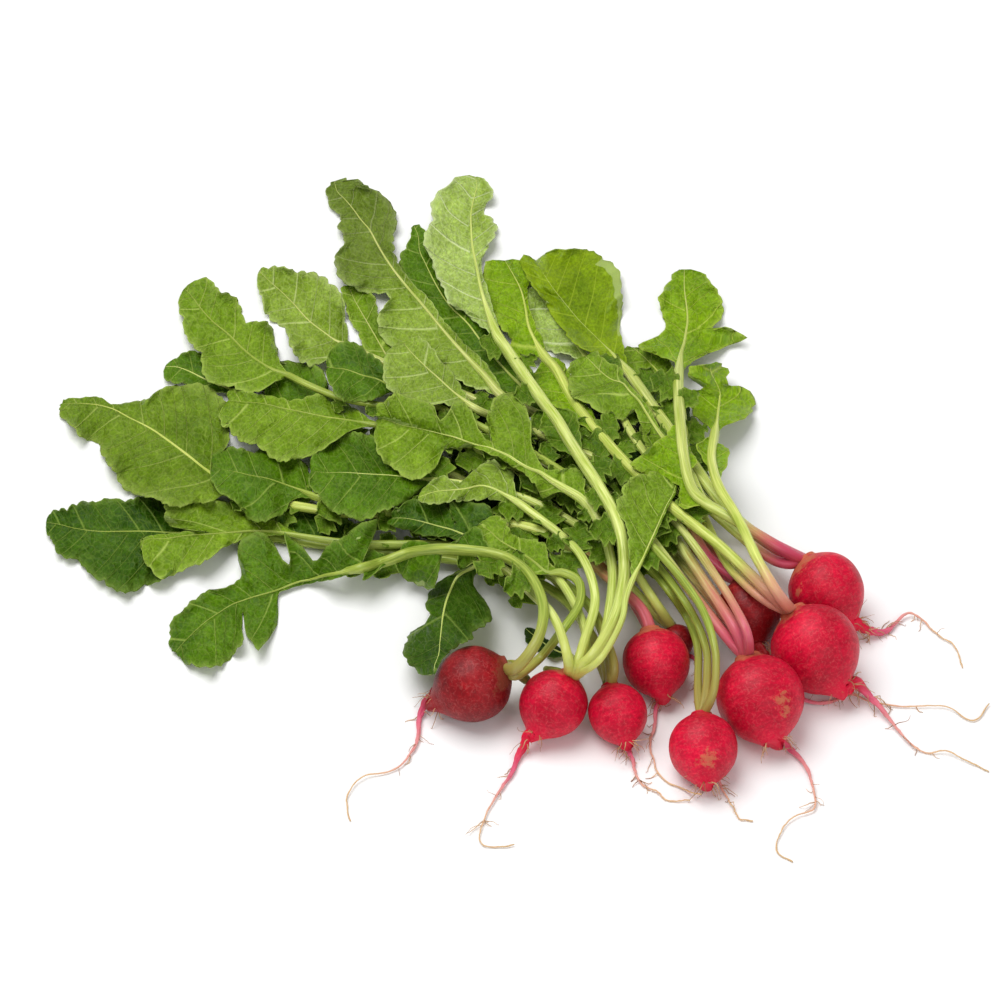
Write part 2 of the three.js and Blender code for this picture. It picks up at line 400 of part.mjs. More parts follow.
// root, bulb and crown as one round-sectioned solid, cut flat where it lies
function radishSolid(radish) {
  const middle = onRay(radish.at[0], radish.at[1], rest(radish));
  const crown = onRay(radish.crown[0], radish.crown[1], rest(radish));
  const axis = crown.sub(middle).setZ(0).normalize();
  axis.multiplyScalar(Math.cos(CROWN_TILT)).setZ(Math.sin(CROWN_TILT));
  const neck = radish.radius * ROOT_NECK_SHARE;
  const pole = middle.clone().addScaledVector(axis, BULB_PROFILE[0][0] * radish.radius);
  const routeLength = radish.root.length;
  const rootPoints = radish.root.map(([a, b], i) => {
    const fall = Math.max(0, 1 - i / ROOT_DROP);
    const radius = neck + (ROOT_TIP_RADIUS - neck) * Math.sqrt(i / routeLength);
    const z = radius + (pole.z * ROOT_LEAVES_AT - radius) * fall;
    return onRay(a, b, Math.max(radius * TABLE_CLEAR, z, heapAt(a, b) + GAP + radius));
  });
  const path = [...rootPoints.reverse(), pole];
  const stations = along(path, spread(0, 1, routeLength + 1).slice(0, -1));
  const sections = stations.map(({ p }, i) => {
    const share = 1 - i / stations.length;
    return { p, radius: neck + (ROOT_TIP_RADIUS - neck) * Math.pow(share, ROOT_TAPER) };
  });
  for (const [x, r] of BULB_PROFILE) {
    const p = middle.clone().addScaledVector(axis, x * radish.radius);
    sections.push({ p, radius: r * radish.radius });
  }
  let side = new THREE.Vector3(0, 0, 1);
  const rings = sections.map(({ p, radius }, i) => {
    const before = sections[Math.max(0, i - 1)].p;
    const after = sections[Math.min(sections.length - 1, i + 1)].p;
    const t = after.clone().sub(before).normalize();
    side = side.clone().addScaledVector(t, -side.dot(t)).normalize();
    const other = t.clone().cross(side);
    return Array.from({ length: BULB_SIDES }, (_, j) => {
      const angle = (j / BULB_SIDES) * 2 * Math.PI;
      return p.clone().addScaledVector(side, radius * Math.cos(angle))
        .addScaledVector(other, radius * Math.sin(angle));
    });
  });
  return trimToTable(outward(skin(rings)));
}

function trimToTable(solid) {
  const mesh = new wasm.Mesh({
    numProp: 3,
    vertProperties: new Float32Array(solid.points.flatMap((p) => [p.x, p.y, p.z])),
    triVerts: new Uint32Array(solid.faces.flat()),
  });
  mesh.merge();
  const cut = wasm.Manifold.ofMesh(mesh).trimByPlane([0, 0, 1], 0).getMesh();
  const points = [];
  for (let i = 0; i < cut.vertProperties.length; i += cut.numProp) {
    points.push(new THREE.Vector3(...cut.vertProperties.slice(i, i + 3)));
  }
  const faces = [];
  for (let i = 0; i < cut.triVerts.length; i += 3) {
    faces.push([...cut.triVerts.slice(i, i + 3)]);
  }
  return { points, faces };
}

const ACROSS = [-1, -0.55, 0, 0.55, 1];
const STEM_FORM = [0.35, 0.72, 0.85, 0.72, 0.35];
const STEM_STEP = 15;
const RIB_TAPER = 0.65;
const RIB_LEAST = 1.1;
const RIPPLE = { share: 0.16, most: 1.6, turn: 2.1, skew: 2 };
const CUP = 0.1;

function smoothCurve(points) {
  return new THREE.CatmullRomCurve3(points, false, 'centripetal');
}

// rows of the leaf from crown to tip: where each of its five points shows, and how thick it is there
function leafRows(leaf, seed) {
  const last = leaf.route.length - 1;
  const spine = smoothCurve(leaf.route.map(([a, b]) => new THREE.Vector3(a, b, 0)));
  const bladeFrom = leaf.route.findLastIndex((point) => point.length === 2);
  const places = [];
  for (let k = 0; k < last; k += 1) {
    const [p, q] = [leaf.route[k], leaf.route[k + 1]];
    const bare = p.length === 2 && q.length === 2;
    const parts = bare ? Math.ceil(Math.hypot(q[0] - p[0], q[1] - p[1]) / STEM_STEP) : 1;
    for (let part = 0; part < parts; part += 1) {
      places.push(k + part / parts);
    }
  }
  places.push(last);
  return places.map((place, i) => {
    const middle = spine.getPoint(place / last);
    const t = spine.getTangent(place / last);
    const side = new THREE.Vector3(-t.y, t.x, 0).multiplyScalar(leaf.stem / 2);
    const edges = Number.isInteger(place) ? leaf.route[place].slice(2) : [];
    const wide = edges.length > 0;
    const left = wide ? new THREE.Vector3(edges[0], edges[1], 0).sub(middle) : side;
    const right = wide ? new THREE.Vector3(edges[2], edges[3], 0).sub(middle) : side.clone().negate();
    const fade = 1 - RIB_TAPER * Math.max(0, (place - bladeFrom) / (last - bladeFrom));
    return ACROSS.map((u, j) => {
      const reach = u < 0 ? right : left;
      const seat = middle.clone().addScaledVector(reach, Math.abs(u));
      const width = reach.length();
      const swing = Math.min(RIPPLE.most, width * RIPPLE.share);
      const ripple = swing * Math.sin(i * RIPPLE.turn + seed + u * RIPPLE.skew);
      const bladeThick = j === 2 ? Math.max(leaf.stem * fade, RIB_LEAST) : BLADE_THICK;
      return {
        a: seat.x,
        b: seat.y,
        share: place / last,
        wave: wide ? (ripple + width * CUP) * u * u : 0,
        thick: wide ? bladeThick : leaf.stem * STEM_FORM[j],
      };
    });
  });
}

function leafSolid(rows, lifts) {
  const middle = rows.map((row, i) => row.map((spot, j) => onRay(spot.a, spot.b, lifts[i][j])));
  const last = rows.length - 1;
  const wide = ACROSS.length;
  const top = [];
  const under = [];
  middle.forEach((row, i) => {
    row.forEach((p, j) => {
      const [before, after] = [middle[Math.max(0, i - 1)][j], middle[Math.min(last, i + 1)][j]];
      const lengthwise = after.clone().sub(before);
      const crosswise = row[Math.min(wide - 1, j + 1)].clone().sub(row[Math.max(0, j - 1)]);
      const n = lengthwise.cross(crosswise).normalize();
      if (n.z < 0) {
        n.negate();
      }
      top.push(p.clone().addScaledVector(n, rows[i][j].thick / 2));
      under.push(p.clone().addScaledVector(n, -rows[i][j].thick / 2));
    });
  });
  const low = top.length;
  const faces = [];
  const quad = (a, b, c, d) => faces.push([a, b, c], [a, c, d]);
  for (let i = 0; i < last; i += 1) {
    for (let j = 0; j + 1 < wide; j += 1) {
      const a = i * wide + j;
      const c = a + wide + 1;
      quad(a, a + 1, c, c - 1);
      faces.push([low + a, low + c, low + a + 1], [low + a, low + c - 1, low + c]);
    }
    const l = i * wide;
    const r = l + wide - 1;
    quad(l, l + wide, low + l + wide, low + l);
    quad(low + r, low + r + wide, r + wide, r);
  }
  for (let j = 0; j + 1 < wide; j += 1) {
    const end = last * wide + j;
    quad(j, low + j, low + j + 1, j + 1);
    quad(end + 1, low + end + 1, low + end, end);
  }
  return { points: [...top, ...under], faces, low };
}

const STEEPEST = 0.9;
const TABLE_GAP = 1.2;
const BASE_SHARE = 0.3;
const LAY_ROUNDS = 60;
const NEAR_ENOUGH = 0.05;
const EASE_PASSES = 2;

// raises the leaf until it clears all that lies under it, spreading each lift to its neighbours
function layLeaf(leaf, seed) {
  const rows = leafRows(leaf, seed);
  const lifts = rows.map((row) => row.map((spot) => {
    const fall = Math.max(0, 1 - spot.share / BASE_SHARE);
    return TABLE_GAP + spot.thick / 2 + leaf.base * fall * fall + spot.wave;
  }));
  let solid;
  for (let round = 0; round < LAY_ROUNDS; round += 1) {
    solid = leafSolid(rows, lifts);
    const need = rows.map((row) => row.map(() => 0));
    let worst = 0;
    for (const face of solid.faces) {
      let missing = 0;
      sweepTriangle(...face.map((k) => solid.points[k]), (a, b, z) => {
        missing = Math.max(missing, heapAt(a, b) + GAP - z);
      });
      worst = Math.max(worst, missing);
      for (const k of face) {
        const spot = k % solid.low;
        const row = need[Math.floor(spot / ACROSS.length)];
        row[spot % ACROSS.length] = Math.max(row[spot % ACROSS.length], missing);
      }
    }
    if (worst < NEAR_ENOUGH) {
      break;
    }
    lifts.forEach((row, i) => row.forEach((_, j) => {
      row[j] += need[i][j];
    }));
    easeLifts(rows, lifts);
  }
  addToHeap(solid);
  return outward({ points: solid.points, faces: solid.faces });
}

// keeps the leaf from falling away more steeply than it can bend, along it and across it
function easeLifts(rows, lifts) {
  const count = lifts.length;
  const edge = ACROSS.length - 1;
  const hold = (i, j, k, l) => {
    const [p, q] = [rows[i][j], rows[k][l]];
    const fall = STEEPEST * Math.hypot(p.a - q.a, p.b - q.b);
    lifts[i][j] = Math.max(lifts[i][j], lifts[k][l] - fall);
  };
  for (let pass = 0; pass < EASE_PASSES; pass += 1) {
    for (let i = 0; i < count; i += 1) {
      for (let j = 0; j < edge; j += 1) {
        hold(i, j + 1, i, j);
        hold(i, edge - 1 - j, i, edge - j);
      }
    }
    for (let i = 1; i < count; i += 1) {
      for (let j = 0; j <= edge; j += 1) {
        hold(i, j, i - 1, j);
        hold(count - 1 - i, j, count - i, j);
      }
    }
  }
}

function nodeMesh(name, solid, colour, roughness) {
  const geometry = new THREE.BufferGeometry();
  const spots = solid.points.flatMap((p) => [p.x - ORIGIN.x, p.y - ORIGIN.y, p.z]);
  geometry.setAttribute('position', new THREE.Float32BufferAttribute(spots, 3));
  geometry.setIndex(solid.faces.flat());
  geometry.computeVertexNormals();
  const material = new THREE.MeshStandardMaterial({ color: colour, roughness, metalness: 0 });
  const mesh = new THREE.Mesh(geometry, material);
  mesh.name = name;
  return mesh;
}

const group = new THREE.Group();
group.name = 'radish_bunch';
const SKIN_ROUGHNESS = 0.42;
const LEAF_ROUGHNESS = 0.6;
const LEAF_GREENS = [0x5f8f34, 0x6f9a3a, 0x4f7f2c, 0x88a95a];
const RIPPLE_SHIFT = 1.7;

for (const radish of RADISHES) {
  const solid = radishSolid(radish);
  addToHeap(solid);
  group.add(nodeMesh(`radish_${radish.no}`, solid, radish.colour, SKIN_ROUGHNESS));
}

LEAVES.forEach((leaf, i) => {
  const solid = layLeaf(leaf, i * RIPPLE_SHIFT);
  const green = LEAF_GREENS[i % LEAF_GREENS.length];
  group.add(nodeMesh(`leaf_${leaf.name}`, solid, green, LEAF_ROUGHNESS));
});

export default group;
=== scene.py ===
import math
import random
import bpy
import numpy as np
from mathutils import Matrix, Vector, noise
from mathutils.bvhtree import BVHTree


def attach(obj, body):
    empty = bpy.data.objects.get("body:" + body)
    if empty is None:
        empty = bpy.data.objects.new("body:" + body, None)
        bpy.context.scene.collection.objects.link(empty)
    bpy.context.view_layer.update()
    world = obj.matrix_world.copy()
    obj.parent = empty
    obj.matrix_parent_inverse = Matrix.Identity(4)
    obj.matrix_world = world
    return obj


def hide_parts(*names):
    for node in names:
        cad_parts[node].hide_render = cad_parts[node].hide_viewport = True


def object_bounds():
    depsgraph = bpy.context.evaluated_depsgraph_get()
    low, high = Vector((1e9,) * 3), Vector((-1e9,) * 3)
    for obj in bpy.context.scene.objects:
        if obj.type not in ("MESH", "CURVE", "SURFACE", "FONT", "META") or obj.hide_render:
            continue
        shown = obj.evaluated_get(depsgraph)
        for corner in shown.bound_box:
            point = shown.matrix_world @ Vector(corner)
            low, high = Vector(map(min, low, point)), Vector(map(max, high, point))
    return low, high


# a bunch of ten radishes lying on its side, its leaves fanned out behind it and to the left
# lengths are mm; [across, up] is as seen from the front, from viewAngle above the table

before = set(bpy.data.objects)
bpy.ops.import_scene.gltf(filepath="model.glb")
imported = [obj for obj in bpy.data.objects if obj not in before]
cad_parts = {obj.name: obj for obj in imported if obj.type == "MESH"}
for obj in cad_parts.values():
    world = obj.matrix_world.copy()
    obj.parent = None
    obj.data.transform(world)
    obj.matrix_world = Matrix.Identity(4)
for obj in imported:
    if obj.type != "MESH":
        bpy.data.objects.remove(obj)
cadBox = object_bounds()

viewAngle = math.pi / 4
viewDistance = 1400.0
viewWidth = 340.3  # what the view is wide at the middle of the bunch
bulbFlat = 0.35  # how much of a bulb is pressed flat where it lies
foot = (-0.8, -1.4, 0.0)  # the origin, from straight below the middle of bulb 06
mm = 0.001
mapUnit = 100.0  # length of one unit of the leaf map

# middle, largest radius and crown, then the root from bulb to tip
radishes = [
    { "no": "10", "at": [60.2, -47.6], "radius": 5.3, "crown": [56.8, -41.5],
      "root": [[65, -53], [67.5, -58], [67.5, -63], [66, -69]] },
    { "no": "09", "at": [84.4, -37.6], "radius": 10.6, "crown": [80.6, -27.4],
      "root": [[92, -56], [98, -65], [105, -68.5], [112, -68.5], [119, -66], [125, -68], [136, -70],
        [151, -70], [161, -75], [166, -69]] },
    { "no": "08", "at": [110.7, -30.4], "radius": 12.4, "crown": [101.5, -21.6],
      "root": [[121, -42], [125, -44], [129, -45], [132, -44], [135, -41], [139, -38], [144, -41],
        [149, -46], [154, -49], [157, -57]] },
    { "no": "07", "at": [106.9, -50.2], "radius": 14.2, "crown": [95.0, -36.6],
      "root": [[121, -62], [124, -65], [128, -69], [132, -74], [136, -79], [140, -83], [145, -86],
        [151, -85], [160, -89], [166, -92]] },
    { "no": "06", "at": [88.2, -67.0], "radius": 13.9, "crown": [82.1, -52.9],
      "root": [[96, -75], [96, -80], [98, -84], [102, -88], [105, -93], [107, -102], [106, -105],
        [101, -107], [97, -110], [94, -119], [99, -123]] },
    { "no": "05", "at": [68.9, -84.0], "radius": 11.0, "crown": [67.8, -71.9],
      "root": [[71, -91], [74, -95], [76, -99], [79, -104], [81, -108], [86, -109]] },
    { "no": "03", "at": [39.8, -72.2], "radius": 9.5, "crown": [35.9, -62.4],
      "root": [[43, -82], [44, -86], [45, -89], [46, -93], [49, -97], [53, -99], [57, -102], [64, -102]] },
    { "no": "02", "at": [18.0, -68.9], "radius": 10.8, "crown": [26.0, -59.0],
      "root": [[10, -79], [8, -83], [6, -87], [4, -92], [1, -97], [-3, -103], [-7, -114], [-6, -117],
        [-3, -118], [5, -117]] },
    { "no": "01", "at": [-9.2, -62.4], "radius": 12.3, "crown": [1.5, -59.7],
      "root": [[-22, -65], [-25, -68], [-27, -72], [-29, -83], [-34, -90], [-38, -92], [-47, -94],
        [-52, -100], [-51, -109]] },
    { "no": "04", "at": [52.9, -54.7], "radius": 10.9, "crown": [49.8, -43.4],
      "root": [[55, -64.5], [54, -67.5], [53, -70], [52.5, -74], [52, -78], [51, -83], [52, -88], [54, -93],
        [58, -96.5], [63, -98.5], [68, -100]] },
]

# stalk thickness and route from crown to tip: [across, up, left across, left up, right across, right up]
leaves = [
    { "name": "2_f", "stem": 2,
      "route": [[27, -56.5], [24.5, -53], [22.5, -52], [20, -51.5, 17.5, -53.5, 20.5, -50.5],
        [15.5, -49, 11.5, -51, 16, -47], [11.5, -46, 9, -48, 13, -44.5],
        [8.5, -43.5, 8, -44.5, 9.5, -43]] },
    { "name": "10_a", "stem": 3,
      "route": [[51.5, -38], [39.5, -24.5], [24.5, -13.5], [-20.5, 10.5], [-58, 24],
        [-64, 26.5, -65, 24, -59.5, 43], [-71, 29.5, -72, 27, -69, 47.5], [-76, 31.5, -77, 29, -79, 45],
        [-81, 33.5], [-87, 36, -89, 35, -86, 40.5], [-94.5, 39, -96.5, 37, -93.5, 47],
        [-101, 41.5, -103, 38, -101, 50.5], [-106, 44, -107.5, 39, -106.5, 50.5],
        [-110.5, 45.5, -112.5, 40.5, -110, 48.5], [-114, 45.5, -115, 42.5, -113, 47]] },
    { "name": "9_a", "stem": 3,
      "route": [[72.5, -24], [58.5, -7.5], [37, 17], [20, 29.5], [12, 34.5, 8, 31.5, 17, 38],
        [3, 43, -4, 37.5, 8, 47.5], [-5, 52, -13, 47, 0, 57], [-11, 60, -19, 56, -6, 64.5],
        [-17.5, 66.5, -24, 66, -14, 71], [-22, 73.5, -33, 75.5, -18.5, 75.5],
        [-25.5, 80.5, -34, 82.5, -22, 81], [-27.5, 85, -32.5, 86, -24.5, 86.5],
        [-28, 90, -31, 89, -25, 90], [-29.5, 93.5, -31, 92, -26.5, 94]] },
    { "name": "4_b", "stem": 3,
      "route": [[45.5, -34], [35, -23], [25.5, -16], [19, -11.5, 6.5, -20, 27.5, -5],
        [11.5, -6, -4, -15, 22, 3.5], [4, 0, -11, -6, 13.5, 10.5], [-3.5, 5, -13, 2, 3, 12.5],
        [-9, 8.5, -11.5, 5.5, -5.5, 11]] },
    { "name": "6_f", "stem": 3,
      "route": [[83, -48], [65, -25.5], [51, -7.5], [45.5, 0, 35, -5.5, 55, 6.5],
        [38, 9.5, 25.5, 2, 47.5, 18], [30.5, 18.5, 18.5, 11, 40, 26.5], [23.5, 26, 15, 20.5, 32, 33],
        [18, 32, 15, 29.5, 23, 35.5]] },
    { "name": "9_d", "stem": 3,
      "route": [[75.5, -21.5], [66.5, -8.5], [61.5, 0], [57, 7, 47, 4, 64.5, 12.5],
        [51, 16.5, 40, 11.5, 61.5, 23.5], [46, 24, 36, 18.5, 56.5, 31], [42, 31, 34.5, 27.5, 49, 36],
        [38, 36, 35, 34, 42, 39]] },
    { "name": "8_e", "stem": 3,
      "route": [[98.5, -20], [83, -10.5], [74.5, -4], [70, 1.5, 65, -2.5, 72.5, 5.5],
        [64, 9, 57, 5.5, 66.5, 12], [61.5, 16.5, 54, 15, 65.5, 19], [59.5, 24, 53.5, 24, 64.5, 26.5],
        [59.5, 31, 55.5, 31, 64, 33]] },
    { "name": "3_c", "stem": 3,
      "route": [[34, -55], [26.5, -38.5], [20, -28.5], [10, -19], [2, -12, -7, -17.5, 6.5, -6],
        [-7, -7.5, -20.5, -15, 0, 0], [-16.5, -2.5, -30, -10, -9, 5], [-26, 1.5, -35.5, -3, -19, 7],
        [-33.5, 4, -35.5, 1.5, -30, 7.5]] },
    { "name": "10_b", "stem": 3,
      "route": [[49, -35], [34, -17.5], [20, -4], [10, 5, 0.5, 0, 16, 11], [0, 14, -9.5, 7, 8.5, 22],
        [-8.5, 22, -18, 16, 0.5, 31], [-16.5, 30, -24, 26, -9, 37], [-22.5, 35, -24.5, 32, -18.5, 38]] },
    { "name": "9_b", "stem": 3,
      "route": [[70, -20], [58.5, 3.5], [46, 20.5], [36.5, 37], [30.5, 47], [25, 54, 20, 50, 26, 55],
        [19.5, 61.5, 14, 52.5, 20.5, 62.5], [14.5, 68.5, 10, 61.5, 15.5, 69.5],
        [9.5, 74.5, 8.5, 71, 10.5, 75.5]] },
    { "name": "3_a", "stem": 3.4,
      "route": [[36.5, -55.5], [21, -33], [-3.5, -22.5], [-49, -16.5], [-56, -15.5, -56.5, -17, -51, -6],
        [-64, -14.5, -64.5, -16, -63.5, -3], [-72, -13.3, -72.5, -14.8, -76, -4.5], [-79, -12.3],
        [-85, -11.5], [-94, -11], [-102, -11, -105, -21, -103.5, -2],
        [-111.5, -11, -117, -27.5, -113, 0.5], [-120.5, -10.5, -125.5, -31, -121, 1],
        [-128.5, -10.5, -134, -29, -129.5, 0.5], [-136.5, -10.5, -143, -21.5, -138.5, 0],
        [-144.5, -9.5, -150, -18, -145.5, -1.5], [-150.5, -8, -153.5, -13, -151.5, -3.5],
        [-154.5, -7.5, -154.5, -10, -154, -5.5]] },
    { "name": "6_e", "stem": 3,
      "route": [[80, -50], [61.5, -26.5], [36, -1], [-17, 29], [-30, 37.5],
        [-35.5, 44.5, -37.5, 41, -33, 49], [-39.5, 50.5, -44, 49, -35.5, 54],
        [-43.5, 57.5, -49, 57, -39.5, 60], [-47, 63.5, -52, 64, -42, 67], [-50, 69, -54, 69, -44.5, 71],
        [-51.5, 73, -54, 73, -48.5, 74.5]] },
    { "name": "7_d", "stem": 3.2,
      "route": [[89, -34], [77.5, -22], [70, -7.5], [64.5, 7], [62.5, 20.5], [61, 32.5],
        [58.5, 37, 52.5, 33, 60.5, 41], [55.5, 41.5, 47.5, 36, 59.5, 45.5],
        [52, 45.5, 44.5, 41.5, 55.5, 49], [48.5, 49, 40.5, 48, 52, 51.5], [45, 52, 41.5, 53, 48, 52]] },
    { "name": "3_d", "stem": 3,
      "route": [[38, -58.5], [30.5, -36], [-3.5, -17.5], [-53, -14.5],
        [-71.5, -11.5, -73, -12, -71.5, -10], [-79, -10.5, -80.5, -12, -83.5, -2],
        [-86.5, -10.5, -88.5, -13.5, -114, -1], [-92.5, -11, -96, -17.5, -113, -8],
        [-100, -11.5, -103, -22, -100, -10.5], [-107.5, -12, -111, -25, -107.5, -10.5],
        [-114, -13, -116, -26.5, -114, -11.5], [-119, -13, -120, -22.5, -119, -12],
        [-122.5, -14, -122.5, -17.5, -122.5, -13]] },
    { "name": "4_a", "stem": 3.4,
      "route": [[49, -37], [32.5, -23], [14, -10.5], [-17, -6], [-54.5, -4], [-76.5, -0.5], [-89, 3],
        [-95.5, 7, -100, -0.5, -97.5, 12], [-101, 11, -109.5, -2, -92.5, 20],
        [-106.5, 15.5, -119, 0.5, -93.5, 34], [-112.5, 20, -127.5, 4, -102, 39.5],
        [-119, 24.5, -132, 10, -113.5, 38.5], [-126, 28, -136, 17, -122.5, 34],
        [-131.5, 31, -138, 19.5, -132, 33], [-137, 32.5, -143.5, 22.5, -136, 35],
        [-143, 33, -149, 28.5, -143.5, 35], [-149, 33, -150.5, 32, -148.5, 35]] },
    { "name": "3_b", "stem": 3,
      "route": [[39.5, -55.5], [27, -32.5], [-10.5, -11.5], [-53, -1], [-63.5, 1.5],
        [-68, 3.5, -71, 0, -65.5, 11], [-73.5, 5.5, -73.5, -4, -71.5, 16.5],
        [-79.5, 7.5, -79, -7, -77.5, 19.5], [-85, 8.5, -86, -6, -84, 17],
        [-89, 9.5, -91.5, 1, -88, 17.5], [-94, 10.5, -97, 3.5, -95, 18],
        [-98, 11.5, -99, 9, -98.5, 14.5]] },
    { "name": "10_c", "stem": 3.2,
      "route": [[53, -35], [41.5, -19], [10, 0], [-13, 5.5], [-22, 6.5], [-29, 7.5, -31.5, 0, -28.5, 14.5],
        [-37, 8.5, -39, -3.5, -38, 20], [-45, 9, -47, -6.5, -48, 23.5],
        [-53, 9.5, -55.5, -4.5, -56, 21.5], [-59.5, 9.5, -62, 1, -61.5, 18.5],
        [-64.5, 10, -65.5, 6.5, -65, 13]] },
    { "name": "5_a", "stem": 2.6,
      "route": [[67, -67], [66.5, -47.5], [57, -30.5], [25.5, 0], [-17, 20.5], [-34, 24], [-41.5, 25.5],
        [-47, 26.5, -50.5, 24, -45.5, 28.5], [-53, 27.5, -58.5, 18.5, -54.5, 34],
        [-60, 28.5, -67, 14.5, -61.5, 36], [-67, 30, -74.5, 13, -68, 34.5],
        [-74.5, 31.5, -81.5, 17.5, -74.5, 35], [-81, 33, -88.5, 20.5, -82, 36],
        [-87.5, 33.5, -94, 25, -88.5, 38], [-92.5, 34, -96, 30, -93.5, 37.5]] },
    { "name": "5_b", "stem": 2.6,
      "route": [[70, -66.5], [70, -51], [62.5, -34], [34, -3], [-20.5, 27.5], [-54.5, 35], [-67, 40],
        [-72, 42.5], [-77.5, 44.5, -83, 37, -75.5, 48], [-82.5, 47.5, -91.5, 38, -76, 53.5],
        [-87.5, 51.5, -100, 41.5, -79.5, 60.5], [-92.5, 56.5, -102.5, 49.5, -86, 61.5],
        [-98, 61, -105.5, 54, -90, 68.5], [-102, 65.5, -108.5, 61, -95.5, 72],
        [-105, 69.5, -109.5, 66.5, -100.5, 75.5], [-107.5, 72, -108.5, 70.5, -105, 74.5]] },
    { "name": "6_a", "stem": 3.2,
      "route": [[77.5, -47.5], [66, -32.5], [40.5, -1], [0, 30], [-34, 44.5], [-47, 50], [-52, 52.5],
        [-55.5, 54, -60.5, 47, -52, 58], [-60.5, 57.5, -66, 45.5, -53.5, 68],
        [-65.5, 61.5, -71, 52, -58, 75], [-70, 66.5, -73.5, 57.5, -65.5, 77.5],
        [-74.5, 71, -79.5, 63.5, -72.5, 79], [-78.5, 74.5, -82, 71, -78, 79.5],
        [-82, 78, -83, 76, -81, 79.5]] },
    { "name": "5_c", "stem": 2.6,
      "route": [[73, -66], [73, -51.5], [68, -36], [51, -15], [20, 10.5], [-17, 30], [-35.5, 37.5],
        [-41.5, 41, -42, 35, -40.5, 46.5], [-47, 42.5, -47, 33, -45.5, 51.5],
        [-52.5, 44.5, -54, 34.5, -52, 54], [-56.5, 45, -58.5, 39.5, -57, 52],
        [-59, 45.5, -59.5, 43, -59.5, 49]] },
    { "name": "6_b", "stem": 3.8,
      "route": [[81.5, -45.5], [69, -27], [49, 2], [20, 25.5], [2.5, 34], [0, 36],
        [-5.5, 42.5, -10.5, 39, -2, 43], [-13, 50.5, -22, 45.5, -8.5, 50],
        [-20, 58.5, -35, 50.5, -17, 58.5], [-26.5, 66.5, -42.5, 60.5, -23.5, 67.5],
        [-32.5, 73.5, -38, 69, -30, 74.5], [-37.5, 80, -50.5, 72, -34, 79],
        [-41.5, 86.5, -57, 81, -35.5, 84], [-44.5, 92, -53, 88, -36.5, 90.5],
        [-47.5, 95.5, -55.5, 92.5, -34.5, 95], [-50, 99, -54, 96.5, -37, 100],
        [-53, 102.5, -58.5, 100, -42.5, 106], [-55.5, 105, -59.5, 104, -47, 108],
        [-56.5, 108.5, -58.5, 108, -50, 110.5]] },
    { "name": "6_c", "stem": 2.8,
      "route": [[85, -45.5], [74, -27], [54, -1.5], [27, 17], [0, 27.5], [-9, 31.5],
        [-15, 36, -20, 32.5, -12.5, 37], [-20.5, 41, -29.5, 33, -17, 44],
        [-25.5, 45.5, -37, 37, -21.5, 50], [-30, 50, -40.5, 44.5, -25, 53.5],
        [-33, 53.5, -38, 52, -28.5, 56.5]] },
    { "name": "2_d", "stem": 3,
      "route": [[30, -57.5], [28.5, -44], [24.5, -34], [16, -22.5], [6.5, -17.5],
        [0, -16, -2, -18, 0, -13.5], [-4, -14.5, -6.5, -16, -3.5, -2.5], [-9, -13, -11.5, -14, -16.5, 0],
        [-14, -11, -16, -13.5, -17, -4], [-16.5, -10, -19, -12.5, -15, -7],
        [-22, -8.5, -24.5, -12, -18, -2], [-27.5, -7, -30.5, -11, -24.5, 0],
        [-33, -6, -35.5, -9, -31, 0], [-37, -6, -39, -7.5, -37, -3]] },
    { "name": "7_c", "stem": 4,
      "route": [[92, -32], [75.5, -16], [57, -1], [42.5, 13], [34, 22.5], [25.5, 33, 20, 30, 28, 36.5],
        [19, 44.5, 10.5, 39.5, 21, 47], [15, 49], [12, 54, 2, 49, 14, 55.5],
        [9.5, 59.5, 3.5, 55.5, 11.5, 61], [8.5, 65.5, -2, 60.5, 9.5, 66], [7, 71.5, -5.5, 69, 9.5, 72],
        [4.5, 76.5, -6.5, 76.5, 10, 77.5], [1.5, 81.5, -5, 82, 6.5, 82.5]] },
    { "name": "8_b", "stem": 4,
      "route": [[97, -19], [78, -4], [57.5, 24], [47.5, 38], [43.5, 43.5], [38, 50, 30.5, 50, 41.5, 53],
        [32.5, 55.5, 22.5, 56, 41, 63.5], [27, 61, 17, 64, 41.5, 72], [22, 67, 12.5, 71, 39, 79.5],
        [18, 72, 8.5, 76.5, 33, 84], [15, 76.5, 6.5, 80.5, 25.5, 85.5], [12, 81.5, 8.5, 84, 18, 86]] },
    { "name": "1_b", "stem": 3,
      "route": [[4, -61.5], [13, -54], [21, -44], [27, -34.5], [26.5, -27.5], [21, -24.5],
        [16, -24.5, 12, -25, 17.5, -22.5], [11.5, -21, 6.5, -22.5, 15.5, -15.5],
        [6.5, -17.5, 3, -19, 10, -13], [2, -15, 0, -17, 4, -11.5], [-1, -13, -4.5, -16, 2.5, -9],
        [-3.5, -10.5, -7, -13.5, 1.5, -5.5], [-6.5, -9, -11.5, -15, -3, -5.5],
        [-9.5, -10, -12, -13, -7.5, -8]] },
    { "name": "2_b", "stem": 3.2,
      "route": [[26, -57], [28.5, -47.5], [32, -35.5], [31, -27], [27, -18.5], [20, -11.5], [11.5, -5],
        [6, -1], [2, 1.5, -1, 0, 4.5, 6], [-2.5, 4, -6.5, 0, 4, 9.5], [-7, 5, -11.5, 0, -2.5, 14],
        [-11.5, 4, -15.5, -0.5, -8.5, 10.5], [-16.5, 3.5, -18, -1, -14, 6.5],
        [-22, 3, -23.5, -1, -20.5, 8], [-25.5, 2, -26.5, -1, -24, 6.5],
        [-28, 1, -28, -0.5, -27.5, 2.5]] },
    { "name": "2_c", "stem": 3.4,
      "route": [[33, -55], [36, -42.5], [38, -23.5], [34.5, -10], [28.5, -0.5], [21, 4.5, 20, 3, 27.5, 11],
